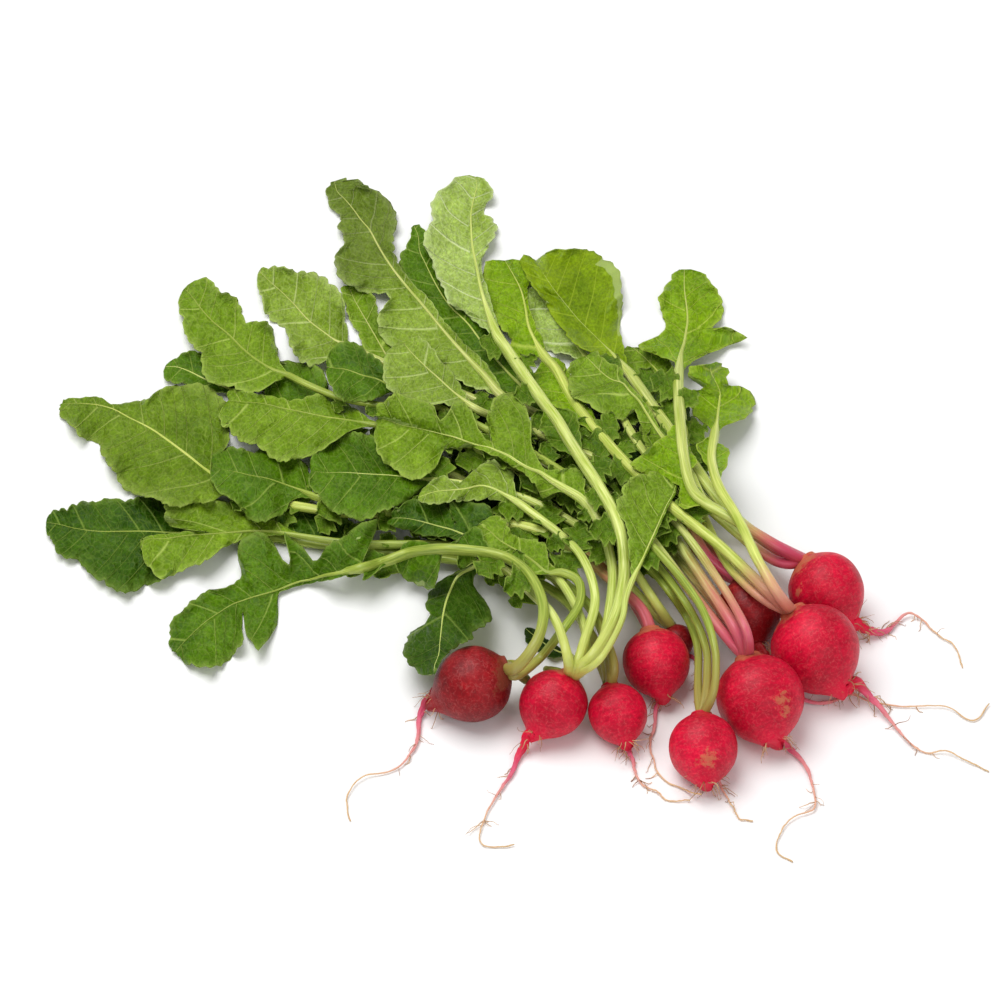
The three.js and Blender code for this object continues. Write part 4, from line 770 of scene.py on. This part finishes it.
# the bulb from the root end to the crown, ring by ring in the same way
def bulbRings(radish, middle, axis):
    along, across = zip(*bulbProfile)
    rings = []
    for k in range(bulbLook["rings"] + 1):
        share = k / bulbLook["rings"]
        s = share * (len(bulbProfile) - 1)
        spot = middle + axis * smoothAt(along, s) * radish["radius"]
        wide = smoothAt(across, s) * radish["radius"]
        down = bulbLook["rootShare"] + (1 - bulbLook["rootShare"]) * share
        rings.append((spot, wide, down, max(0.0, 1 - share * 5.0) ** 1.6))
    return rings


# rootlets: a tuft round the neck of the root and single threads further down
def rootlets(radish, rng, path, rings):
    rows, sides, steps = bulbLook["rootRows"], bulbLook["sides"], bulbLook["hairSteps"]
    curl, droop = bulbLook["hairCurl"], np.array((0, 0, -bulbLook["hairDroop"]))
    starts = []
    for _ in range(bulbLook["beard"][radish["no"]]):
        i = rows + int(rng.random() * 7) - int(rng.random() ** 1.7 * rows * 0.28)
        starts.append((i, rng.uniform(*bulbLook["beardLength"])))
    for _ in range(bulbLook["hairsOnRoot"]):
        starts.append((int(rng.uniform(*bulbLook["hairsFrom"]) * rows), rng.uniform(*bulbLook["hairLength"])))
    threads = []
    for i, length in starts:
        angle = rng.random() * 6.28
        ringSpot = rings[i * sides + int(angle / 6.2832 * sides) % sides]
        out = ringSpot - path[i]
        back = path[max(i - 1, 0)] - path[i]
        way = out / max(np.linalg.norm(out), 1e-6) * 0.9 + back / max(np.linalg.norm(back), 1e-6) * 0.7
        thread = [ringSpot - out * 0.2]
        for _ in range(steps):
            way = way + np.array([rng.uniform(-curl, curl) for _ in range(3)]) + droop
            way /= np.linalg.norm(way)
            p = thread[-1] + way * length / steps
            thread.append(np.array((p[0], p[1], max(p[2], 0.25))))
        thick = bulbLook["hairRadius"] * rng.uniform(*bulbLook["hairThickness"])
        threads.append((thread, [thick * (1 - 0.6 * k / steps) for k in range(steps + 1)]))
    return threads


# stubs of stalks that were pulled off
def stalkStubs(radish, crown):
    steps = bulbLook["stubSteps"]
    tubes = []
    for a, b, z, thick in stubs.get(radish["no"], []):
        end = onRay(a, b, z)
        arch = [np.array((0, 0, bulbLook["stubArch"] * math.sin(k / steps * 3.1))) for k in range(steps + 1)]
        tube = [crown + (end - crown) * k / steps + arch[k] for k in range(steps + 1)]
        tubes.append((tube, [thick / 2 * (1.1 - 0.2 * k / steps + 0.08 * wander(k * 0.9, a))
                             for k in range(steps + 1)]))
    return tubes


def makeRadish(radish, skin, hair, stub):
    number, radius = int(radish["no"]), radish["radius"]
    rng = random.Random(number * 7)
    middle, axis = bulbAxis(radish)
    path, radii, down, rootness = zip(*rootRings(radish, middle, axis), *bulbRings(radish, middle, axis))
    rows, sides = bulbLook["rootRows"], bulbLook["sides"]
    crease = [rng.random() * 6.28 for _ in range(3)]

    # a knobbly root, then a bulb with soft creases and lumps, ribbed at both ends
    def form(i, angle):
        if i < rows:
            return 1 + 0.1 * math.sin(angle * 3 + i * 0.5) + 0.06 * math.sin(angle * 5 - i * 0.31)
        x = (i - rows) / bulbLook["rings"]
        pinch = bulbLook["pinch"] * sum(math.cos(2 * (angle - c)) for c in crease)
        pinch *= 1 - 0.6 * math.sin(math.pi * x)
        round3 = Vector((math.cos(angle), math.sin(angle), x * 2.0 + number))
        bump = noise.noise(round3 * 1.3) + 0.35 * noise.noise(round3 * 3.7)
        ribs = bulbLook["rootRibs"] * math.cos(angle * 5 + number) * max(0.0, 1 - x * 7)
        ribs += bulbLook["crownRibs"] * math.cos(angle * 7) * max(0.0, x - 0.82)
        return 1 + pinch + ribs + bulbLook["lumps"] / radius * bump

    rings = tubeRings(path, radii, sides, form)
    points = [np.array((p[0], p[1], max(p[2], 0.0))) for p in rings]
    faces = ringFaces(0, len(path), sides)
    slotIndex = [0] * len(faces)
    spots = [(j / sides, d) for d in down for j in range(sides)]
    onRoot = [r for r in rootness for _ in range(sides)]
    # wear: round the crown, a little at the root, and in the soiled patches
    scuff = []
    patches = [(onRay(a, b, radius * 1.5), wide) for a, b, wide in soil.get(radish["no"], [])]
    for p in points:
        up = float(np.dot((p - middle) / radius, axis))
        worn = max(0.0, (up - 0.5) * 1.3) + min(0.12, max(0.0, (-up - 0.75) * 0.6))
        for spot, wide in patches:
            worn += max(0.0, 1 - float(np.linalg.norm(p - spot)) / wide)
        scuff.append(min(1.3, worn))

    threads = rootlets(radish, rng, path, rings)
    cuts = stalkStubs(radish, middle + axis * radius * bulbLook["stubSeat"])
    for slot, tubes, tubeSides in ((1, threads, bulbLook["hairSides"]), (2, cuts, bulbLook["stubSides"])):
        for tube, width in tubes:
            more = ringFaces(len(points), len(tube), tubeSides)
            faces += more
            slotIndex += [slot] * len(more)
            points += tubeRings(tube, width, tubeSides)
            spots += [(0.5, 0.4)] * (len(tube) * tubeSides)
            onRoot += [float(slot == 1)] * (len(tube) * tubeSides)
            scuff += [0.0] * (len(tube) * tubeSides)
    obj = newMesh("radish_%s_fine" % radish["no"], points, faces, [skin, hair, stub], slotIndex)
    addSpots(obj, "skinMap", spots)
    addNumber(obj, "rootness", onRoot)
    addNumber(obj, "scuff", scuff)
    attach(obj, "root")
    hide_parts("radish_" + radish["no"])
    return middle + axis * radius * bulbLook["crownSeat"]


leafLook = {
    "across": (-1.0, -0.55, 0.0, 0.55, 1.0),  # the five points of a row of the plain leaf
    "insets": (0.96, 0.88, 0.75, 0.55),  # how far in its height is looked for
    "stemStep": 15.0,
    "rowStep": 0.9,  # between rows of the fine blade
    "columns": 14,  # on each side of the rib
    "thick": 0.28,
    "lowest": 0.35,  # the blade's middle stays this high above the table
    "bladeReach": 0.85,  # how far the blade runs past its first and last wide row
    "toothGap": 3.6,
    "toothDepth": 1.0,
    "lobeGap": 13.0,
    "lobeDepth": 1.5,
    "veinGap": 8.0,
    "veinSweep": 0.6,
    "veinCurve": 0.012,
    "quilt": 0.8,  # height of the puckers between side veins
    "wrinkle": 0.9,
    "swells": [(0.1, 0, 1.6), (0.27, 5, 0.55), (0.7, 9, 0.16)],  # how many per mm, step of seed, height
    "ruffle": 2.3,
    "roomShare": 0.55,  # how much of the gap to its neighbours a blade may use
    "roomLimit": 30.0,  # how far a neighbour is looked for
    "ribSides": 16,
    "ribStep": 1.6,
    "ribStart": 0.42,  # rib at the foot of the blade, as a share of the stalk
    "ribTip": 0.08,
    "crownRows": 5,  # rings between the crown and the stalk's start
    "smoothRows": 12,
}

# leaves whose rib hardly stands out from the blade
ribShares = {"8_b": 0.2, "6_e": 0.7, "6_a": 0.7, "3_a": 0.65,
             "3_b": 0.7, "10_c": 0.6, "1_a": 0.8, "9_a": 0.8}

# margins given the paler underside colour, where the real leaf is turned up: from and to along the blade, and
# how far in
folds = {"8_b": (0.2, 0.72, 0.8), "3_a": (0.55, 0.75, 0.93)}

# darker parts of blades: from where along the blade, and how much; on 6_b it is painted shade over the upper
# part, which faces away from the light
dims = {"4_a": (0.0, 0.4), "6_b": (0.52, 0.8), "5_a": (0.0, 0.05), "8_b": (-1.0, 0.15), "2_e": (0.0, 0.3)}

# leaves whose small lower lobes are a plainer green than the blade
greenWings = ["2_a"]


# rows of the plain leaf: place along its route, seats of its five points and their heights
def plainRows(leaf, spine, tree):
    route = leaf["route"]
    last = len(route) - 1
    places = []
    for k in range(last):
        bare = len(route[k]) == 2 and len(route[k + 1]) == 2
        parts = math.ceil(math.dist(route[k][:2], route[k + 1][:2]) / leafLook["stemStep"]) if bare else 1
        places += [k + part / parts for part in range(parts)]
    places.append(last)
    heights = []
    for i, place in enumerate(places):
        middle, t = spine.at(place), spine.heading(place)
        side = np.array((-t[1], t[0])) * leaf["stem"] / 2
        left, right = side, -side
        if place == int(place) and len(route[int(place)]) == 6:
            p = route[int(place)]
            left, right = np.array(p[2:4]) - middle, np.array(p[4:6]) - middle
        ends = 0.2 if i == 0 else -0.2 if i == len(places) - 1 else 0  # just inside both ends
        row = []
        for u in leafLook["across"]:
            reach = right if u < 0 else left
            z = None
            for inset in (1.0,) if u == 0 else leafLook["insets"]:
                hits = castAt(tree, *(middle + reach * abs(u) * inset + t * ends))
                pairs = [(hits[k] + hits[k + 1]) / 2 for k in range(0, len(hits) - 1, 2)]
                if pairs:
                    before = heights[-1][len(row)] if heights else pairs[0]
                    z = min(pairs, key=lambda h: abs(h - before))
                    break
            row.append(z)
        known = [z for z in row if z is not None]
        spare = sum(known) / len(known) if known else (heights[-1][2] if heights else 3.0)
        heights.append([spare if z is None else z for z in row])
    return places, np.array(heights)


# how far a point of a blade may move towards the eye, and away from it, before it meets another piece
def roomRound(others, point):
    way = Vector(eye - point).normalized()
    spot = Vector(toRow(point))
    limit = leafLook["roomLimit"]
    room = []
    for direction in (way, -way):
        hit = others.ray_cast(spot + direction * 1e-5, direction, limit * mm)[3]
        room.append(min(hit / mm if hit is not None else limit, limit))
    return room


# a sheet given as rows of points, thickened to a closed skin
def closedSheet(grid):
    rows, wide = grid.shape[0] - 1, grid.shape[1]
    normals = np.cross(np.gradient(grid, axis=0), np.gradient(grid, axis=1))
    normals /= np.maximum(np.linalg.norm(normals, axis=2, keepdims=True), 1e-9)
    normals *= np.where(normals[:, :, 2:3] < 0, -1, 1)
    top = (grid + normals * leafLook["thick"] / 2).reshape(-1, 3)
    low = (grid - normals * leafLook["thick"] / 2).reshape(-1, 3)
    size = len(top)
    quads = []  # upper and lower side, with the rim all round them
    for i in range(rows):
        for j in range(wide - 1):
            a = i * wide + j
            quads.append((a, a + 1, a + 1 + wide, a + wide))
            quads.append((size + a, size + a + wide, size + a + 1 + wide, size + a + 1))
        a, b = i * wide, i * wide + wide - 1
        quads.append((a, a + wide, size + a + wide, size + a))
        quads.append((b, size + b, size + b + wide, b + wide))
    for j in range(wide - 1):
        b = rows * wide + j
        quads.append((j, size + j, size + j + 1, j + 1))
        quads.append((b, b + 1, size + b + 1, size + b))
    return [*top, *low], quads


# the blades and leaflets of one leaf, put together: points, faces, place on the leaf map, count of side
# veins, and how much each point is underside, rim and in the dark
class Sheets:
    def __init__(self):
        self.points, self.faces, self.spots = [], [], []
        self.veins, self.under, self.rim, self.dim = [], [], [], []

    def add(self, grid, spots, veins, rim, dim, folded):
        points, quads = closedSheet(grid)
        self.faces += [tuple(v + len(self.points) for v in quad) for quad in quads]
        self.points += points
        self.spots += spots + spots
        self.veins += veins + veins
        self.rim += rim + rim
        self.dim += dim + dim
        self.under += folded + [1.0] * len(spots)


# height of slow bumps, as (how many per mm, step of seed, height)
def swellAt(seat, seed, layers):
    return sum(noise.noise(Vector((seat[0] * often, seat[1] * often, seed + step))) * high
               for often, step, high in layers)


# how far a margin stands out or in for its teeth and small lobes
def toothAt(far, phase, side, seed):
    turn = far / leafLook["toothGap"] * math.pi + 2.5 * wander(far * 0.08, seed + side + 3)
    tooth = (abs(math.sin(turn + phase[side])) ** 0.7 - 0.7) * leafLook["toothDepth"]
    tooth *= 1 + 0.7 * wander(far * 0.13, seed + side)
    lobe = far / leafLook["lobeGap"] * math.pi + 2.0 * wander(far * 0.03, seed + side + 7)
    tooth += (abs(math.sin(lobe + phase[side + 1])) ** 0.6 - 0.8) * leafLook["lobeDepth"]
    return tooth + 0.3 * wander(far * 0.7, seed + side + 5)


# how far the blade rises or dips: puckers between its side veins, slow bumps, and ruffles at the margin
def riseAt(seat, across, width, w, climb, edgeFar, phase, side, seed):
    rise = (abs(math.sin(math.pi * climb)) ** 0.7 - 0.6) * leafLook["quilt"] * min(1.0, across / 3)
    rise += swellAt(seat, seed, leafLook["swells"]) * leafLook["wrinkle"] * min(1.0, across / 3)
    turn = edgeFar * 0.3 + 2.5 * wander(edgeFar * 0.05, seed + side + 8) + phase[side + 2]
    wave = math.sin(turn) + 0.4 * math.sin(turn * 2.7 + 1)
    return rise + leafLook["ruffle"] * w ** 2.4 * min(1.0, width / 9) * wave


def makeBlade(sheets, name, seed, spine, edges, places, heights, others, span):
    start, end = span
    half = leafLook["columns"]
    inner = leafLook["across"][3]
    farStart, farEnd = spine.farAt(start), spine.farAt(end)
    rows = max(10, int((farEnd - farStart) / leafLook["rowStep"]))
    phase = [(seed * 1.37 + k * 2.1) % 6.28 for k in range(6)]
    seats, spots, veins, rim, turned, dim = [], [], [], [], [], []
    fold, dimness, last = folds.get(name), dims.get(name, (0, 0)), end == spine.last
    edgeFar = [0.0, 0.0]
    before = [None, None]
    for i in range(rows + 1):
        v = i / rows
        place = spine.placeAt(farStart + (farEnd - farStart) * v)
        s = float(np.interp(place, places, range(len(places))))
        column = [smoothAt(heights[:, k], s) for k in range(5)]
        middle, t = spine.at(place), spine.heading(place)
        reaches = []
        for side in (0, 1):
            reach = edges[side].at(place) - middle
            if before[side] is not None:
                edgeFar[side] += float(np.linalg.norm(middle + reach - before[side]))
            before[side] = middle + reach
            width = max(float(np.linalg.norm(reach)), 0.3)
            grow = 1 + toothAt(edgeFar[side], phase, side, seed) * min(1.0, width / 5) / width
            if last and v > 0.985:  # the very tip is rounded off
                grow *= 0.6
            reaches.append(reach * max(grow, 0.2))
        for j in range(-half, half + 1):
            w = abs(j) / half
            side = 0 if j > 0 else 1
            reach = reaches[side]
            width = float(np.linalg.norm(reach))
            across = w * width
            far = farStart + (farEnd - farStart) * v + float(np.dot(reach, t)) * w
            seat = middle + reach * w
            p0, p1, p2 = column[2], column[1 + 2 * (j > 0)], column[4 * (j > 0)]
            z = p0 * (w - inner) * (w - 1) / inner + p1 * w * (w - 1) / (inner * (inner - 1))
            z += p2 * w * (w - inner) / (1 - inner)
            # side veins leave the rib in turn and sweep up the blade, more so near the margin
            climb = far - across * leafLook["veinSweep"] - across ** 2 * leafLook["veinCurve"]
            climb = climb / leafLook["veinGap"] + 0.5 * (j > 0) + 0.9 * wander(climb * 0.09, seed + side)
            rise = riseAt(seat, across, width, w, climb, edgeFar[side], phase, side, seed)
            above, below = roomRound(others, onRay(*seat, z))
            room = max((above if rise > 0 else below) * leafLook["roomShare"], 0.02)
            seats.append(onRay(*seat, max(z + room * math.tanh(rise / room), leafLook["lowest"])))
            spots.append((math.copysign(across, j) / mapUnit, far / mapUnit))
            veins.append(climb)
            rim.append(w ** 12)
            dim.append(dimness[1] * min(1.0, max(0.0, (v - dimness[0]) * 6)) if last else 0.0)
            turned.append(1.0 if fold and j < 0 and fold[0] < v < fold[1] and w > fold[2] else 0.0)
    sheets.add(np.array(seats).reshape(rows + 1, 2 * half + 1, 3), spots, veins, rim, dim, turned)


leafletLook = {
    "inside": [  # left, right, bottom, top: where in the heap stalks carry small ragged leaflets
        (0.0, 30.0, 42.0, 53.0),
        (-58.0, 66.0, 6.0, 42.0),
        (-95.0, 66.0, -19.0, 6.0),
        (-4.0, 24.0, -27.0, -19.0),
    ],
    "clearOfCrown": 30.0,
    "gap": 7.5,
    "length": (5.0, 12.0),
    "width": 0.45,
    "rows": 12,
    "columns": 5,
    "curl": 1.6,
    "swells": [(0.35, 0, 1.6), (0.9, 0, 0.5)],
    "veinGap": 3.5,
}


# small ragged leaflets along the bare stalk
def addLeaflets(sheets, rng, seed, spine, places, heights, bareEnds):
    side = rng.choice((-1, 1))
    for start, end in bareEnds:
        far = max(spine.farAt(start), leafletLook["clearOfCrown"]) + rng.uniform(0, leafletLook["gap"])
        while far < spine.farAt(end) - 1:
            place = spine.placeAt(far)
            middle, t = spine.at(place), spine.heading(place)
            far += leafletLook["gap"] * rng.uniform(0.6, 1.5)
            if not any(left < middle[0] < right and bottom < middle[1] < top
                       for left, right, bottom, top in leafletLook["inside"]):
                continue
            side = -side
            length = rng.uniform(*leafletLook["length"])
            z = smoothAt(heights[:, 2], float(np.interp(place, places, range(len(places)))))
            lean = rng.uniform(0.7, 1.45)
            way = t * math.cos(lean) + np.array((-t[1], t[0])) * math.sin(lean) * side
            flank = np.array((-way[1], way[0]))
            rows, half = leafletLook["rows"], leafletLook["columns"]
            bend, twist = rng.uniform(-0.5, 0.5), rng.uniform(-1, 1)
            grid, spots, veins, rim = [], [], [], []
            for i in range(rows + 1):
                v = i / rows
                ragged = 1 + 0.5 * wander(v * 5, seed + far) + 0.25 * math.sin(v * 19 + far)
                plump = 0.12 + math.sin(math.pi * v ** 0.75) ** 0.8  # fullest short of the middle
                width = length * leafletLook["width"] * plump * ragged
                rib = middle + way * v * length + flank * bend * v * v * length * 0.5
                for j in range(-half, half + 1):
                    u = j / half
                    seat = rib + flank * u * width
                    curl = leafletLook["curl"] * (0.6 * u * u + 0.5 * twist * u * v - 0.4 * v)
                    curl += swellAt(seat, seed, leafletLook["swells"])
                    grid.append(onRay(*seat, max(z - 0.3 + curl * min(1, v * 4), leafLook["lowest"])))
                    spots.append((u * width / mapUnit, (far + v * length) / mapUnit))
                    climb = v * length - abs(u) * width * 0.7
                    veins.append(climb / leafletLook["veinGap"] + 0.5 * (u > 0))
                    rim.append(abs(u) ** 6)
            none = [0.0] * len(spots)
            sheets.add(np.array(grid).reshape(rows + 1, 2 * half + 1, 3), spots, veins, rim, none, none)


# petiole and rib as one tapering rod from the crown to the tip: middle and radius of each ring, and how far
# along the leaf it is
def ribRod(leaf, seed, spine, places, heights, crown):
    stem, last = leaf["stem"], len(leaf["route"]) - 1
    bladeFrom = max(k for k, p in enumerate(leaf["route"]) if len(p) == 2)
    ribShare = ribShares.get(leaf["name"], 1.0)
    path, radii, fars = [], [], []
    stalkStart = onRay(*spine.at(0), heights[0, 2])
    for k in range(leafLook["crownRows"]):
        w = k / leafLook["crownRows"]
        path.append(crown * (1 - w) + stalkStart * w)
        radii.append(stem / 2 * (1.25 - 0.1 * w))
        fars.append(0.0)
    length = spine.far[-1]
    steps = max(30, int(length / leafLook["ribStep"]))
    for k in range(steps + 1):
        place = spine.placeAt(length * k / steps)
        s = float(np.interp(place, places, range(len(places))))
        w = max(0.0, (place - bladeFrom) / (last - bladeFrom))
        slim = 1 - (1 - leafLook["ribStart"]) * min(1.0, w * 5)
        r = stem / 2 * slim * (1 - w) ** 1.1 + leafLook["ribTip"] * w
        r *= (1 + 0.12 * max(0.0, 1 - k / steps * length / 12)) * (1 + (ribShare - 1) * min(1.0, w * 4))
        seat = spine.at(place)
        z = smoothAt(heights[:, 2], s) + (0.14 - 0.3 * r) * min(1.0, w * 6)
        path.append(onRay(*seat, max(z, r)))
        radii.append(max(leafLook["ribTip"], r) * (1 + 0.05 * wander(k * 0.35, seed)))
        fars.append(k / steps * length)
    for _ in range(10):
        for k in range(1, leafLook["smoothRows"] + 1):
            path[k] = (path[k - 1] + 2 * path[k] + path[k + 1]) / 4
    return path, radii, fars


def makeLeaf(leaf, seed, materials, crown, others):
    route = leaf["route"]
    last = len(route) - 1
    spine = Curve([p[:2] for p in route])
    places, heights = plainRows(leaf, spine, treeOf("leaf_" + leaf["name"]))
    left, right = [], []
    for k, p in enumerate(route):
        t = spine.heading(k)
        out = np.array((-t[1], t[0])) * leaf["stem"] * 0.3
        left.append(p[2:4] if len(p) == 6 else np.array(p) + out)
        right.append(p[4:6] if len(p) == 6 else np.array(p) - out)
    edges = (Curve(left), Curve(right))
    sheets = Sheets()
    bare = [len(p) == 2 for p in route]
    bareEnds = []
    reach = leafLook["bladeReach"]
    k = 0
    while k <= last:
        end = k
        while end < last and bare[end + 1] == bare[k]:
            end += 1
        if bare[k]:
            bareEnds.append((k, end))
        else:
            wingFaces = len(sheets.faces)  # the faces of the parts below the last, which are its wings
            span = (k - reach, end if end == last else end + reach)
            makeBlade(sheets, leaf["name"], seed, spine, edges, places, heights, others, span)
        k = end + 1
    bladeFaces = len(sheets.faces)
    addLeaflets(sheets, random.Random(seed), seed, spine, places, heights, bareEnds)
    leafletFaces = len(sheets.faces) - bladeFaces

    path, radii, fars = ribRod(leaf, seed, spine, places, heights, crown)
    sides = leafLook["ribSides"]
    # a little flatter on top
    rings = tubeRings(path, radii, sides, lambda i, angle: 1 - 0.2 * max(0, math.cos(angle)) ** 4)
    faces = sheets.faces + ringFaces(len(sheets.points), len(path), sides)
    wingSlot = 2 if leaf["name"] in greenWings else 0
    slotIndex = [wingSlot] * wingFaces + [0] * (bladeFaces - wingFaces)
    slotIndex += [2] * leafletFaces + [1] * (len(faces) - bladeFaces - leafletFaces)
    obj = newMesh("leaf_%s_fine" % leaf["name"], sheets.points + rings, faces, materials, slotIndex)
    ribSpots = [(j / sides * 0.1, far / mapUnit) for far in fars for j in range(sides)]
    addSpots(obj, "leafMap", sheets.spots + ribSpots)
    for name, values, onRib in (("underside", sheets.under, 0.0), ("veins", sheets.veins, 0.5),
                                ("rim", sheets.rim, 0.0), ("dim", sheets.dim, 0.0)):
        addNumber(obj, name, values + [onRib] * len(rings))
    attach(obj, "root")
    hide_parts("leaf_" + leaf["name"])


studio = {
    "world": 0.35,
    "key": 23,
    "keyPlace": (-0.5, 0.3, 1.5),
    "keySize": (1.4, 1.1),
    "fill": 6.5,
    "fillPlace": (0.5, -1.1, 0.9),
    "fillSize": (1.2, 0.8),
    "aim": (-0.083, 0.1, 0),  # both lamps point at the middle of the bunch
}


def makeStage():
    floorMaterial, tree = newMaterial("White paper floor")  # matt, so only soft shadows show on it
    paper = addNode(tree, "BsdfPrincipled", {
        "Base Color": (0.93, 0.93, 0.93, 1), "Roughness": 0.9, "Specular IOR Level": 0.1})
    addNode(tree, "OutputMaterial", {0: paper})
    bpy.ops.mesh.primitive_plane_add(size=12, location=(0, 0, 0))
    floor = bpy.context.object
    floor.name = "floor"
    floor.data.materials.append(floorMaterial)

    world = bpy.data.worlds.new("Studio")
    bpy.context.scene.world = world
    world.use_nodes = True
    world.node_tree.nodes["Background"].inputs[0].default_value = (1, 1, 1, 1)
    world.node_tree.nodes["Background"].inputs[1].default_value = studio["world"]
    for name in ("key", "fill"):
        data = bpy.data.lights.new(name, "AREA")
        data.shape = "RECTANGLE"
        data.size, data.size_y = studio[name + "Size"]
        data.energy = studio[name]
        lamp = bpy.data.objects.new(name, data)
        lamp.location = studio[name + "Place"]
        lamp.rotation_euler = (Vector(studio["aim"]) - lamp.location).to_track_quat("-Z", "Y").to_euler()
        bpy.context.scene.collection.objects.link(lamp)


def makeCamera():
    data = bpy.data.cameras.new("View")
    data.sensor_width = 36
    data.lens = 36 * viewDistance / viewWidth
    data.clip_start, data.clip_end = 0.05, 20
    camera = bpy.data.objects.new("View", data)
    camera.location = toRow(eye)
    camera.rotation_euler = (math.pi / 2 - viewAngle, 0, 0)
    bpy.context.scene.collection.objects.link(camera)
    bpy.context.scene.camera = camera


makeStage()
makeCamera()
bpy.context.scene.view_settings.view_transform = "Standard"

skins = {
    "red": skinMaterial("Crimson skin", "#db0837", "#b40528", "#b98256", 0.0),
    "dark": skinMaterial("Maroon skin, painted shade on bulb 10", "#9a0e18", "#66080e", "#74452c", 0.02),
}
# the shade leaves fill the heap; their near-black greens are painted shade, the dark of the hollows between
# the leaves
blades = {
    "shade": leafMaterial("Leaf in the heap, painted shade", "#142a02", "#284503", "#56702a", 0.46),
    "dark": leafMaterial("Oldest leaf, dark green", "#284a00", "#406403", "#86a043", 0.42),
    "deep": leafMaterial("Old leaf, deep green", "#3c6000", "#567d06", "#98b04e", 0.42),
    "mid": leafMaterial("Leaf, middle green", "#5f8006", "#7b9b20", "#b8cc64", 0.44),
    "fresh": leafMaterial("Young leaf, yellow green", "#668c00", "#84a90c", "#bccf56", 0.4),
    "smooth": leafMaterial("Youngest leaf, smooth", "#648200", "#8aa608", "#a0b830", 0.36, 0.35),
    "pale": leafMaterial("Leaf, dusty green", "#6c8814", "#8aa538", "#c6d686", 0.48),
    "white": leafMaterial("Leaf underside, grey green", "#8ca63c", "#a7c05e", "#deeab0", 0.52),
}
bladeOf = {
    "shade": ["2_f", "4_b", "6_f", "9_d", "8_e", "3_c", "10_b"],
    "dark": ["3_a", "2_d", "2_e"],
    "deep": ["10_a", "9_a", "3_b", "10_c", "5_c", "1_a"],
    "mid": ["2_c", "4_a", "6_e", "7_d", "3_d", "5_a", "5_b", "1_b", "8_c", "2_g"],
    "fresh": ["7_c", "8_d", "7_e"],
    "smooth": ["8_b"],
    "pale": ["6_a", "6_b", "6_c", "2_b"],
    "white": ["9_b", "2_a"],
}
# the leaflets sit inside the heap: a mid green of their own, darkened partly as painted shade of the heap
leafletSkin = leafMaterial("Small leaves on the stalks", "#3f6003", "#5f800d", "#9db34c", 0.44)
stalks = {
    "green": stalkMaterial("Stalk, pale green", "#c4cb66", 20, "#a2b834", "#e8f094"),
    "olive": stalkMaterial("Stalk, olive", "#a3964c", 22, "#768f22", "#b8c65a"),
    "blush": stalkMaterial("Stalk, pink at the crown", "#d25c70", 34, "#9cb034", "#e2e494"),
    "rosy": stalkMaterial("Stalk, magenta foot", "#cc4a66", 18, "#9cb034", "#dde488"),
    "flesh": stalkMaterial("Stalk, rose", "#d2606c", 34, "#a3b83a", "#e2e880"),
    "salmon": stalkMaterial("Stalk, salmon at the crown", "#e09c84", 15, "#a3b83a", "#e2e880"),
}
stalkOf = {1: "olive", 2: "green", 3: "olive", 4: "flesh", 5: "olive", 6: "blush", 7: "salmon", 8: "rosy",
           9: "rosy", 10: "green"}
hair = hairMaterial()
stub = stubMaterial()
print("materials made")

crowns = {}
for radish in radishes:
    # bulbs 01 and 09 are maroon; bulb 10, deep behind bulb 04, takes the maroon skin partly as painted shade
    kind = "dark" if radish["no"] in ("01", "09", "10") else "red"
    crowns[int(radish["no"])] = makeRadish(radish, skins[kind], hair, stub)
print("radishes made")

nodeNames = ["radish_" + r["no"] for r in radishes] + ["leaf_" + leaf["name"] for leaf in leaves]
for i, leaf in enumerate(leaves):
    number = int(leaf["name"].split("_")[0])
    tone = next(tone for tone, names in bladeOf.items() if leaf["name"] in names)
    others = treeOf(*[n for n in nodeNames if n != "leaf_" + leaf["name"]])
    makeLeaf(leaf, 11 + i, [blades[tone], stalks[stalkOf[number]], leafletSkin], crowns[number], others)
print("leaves made")
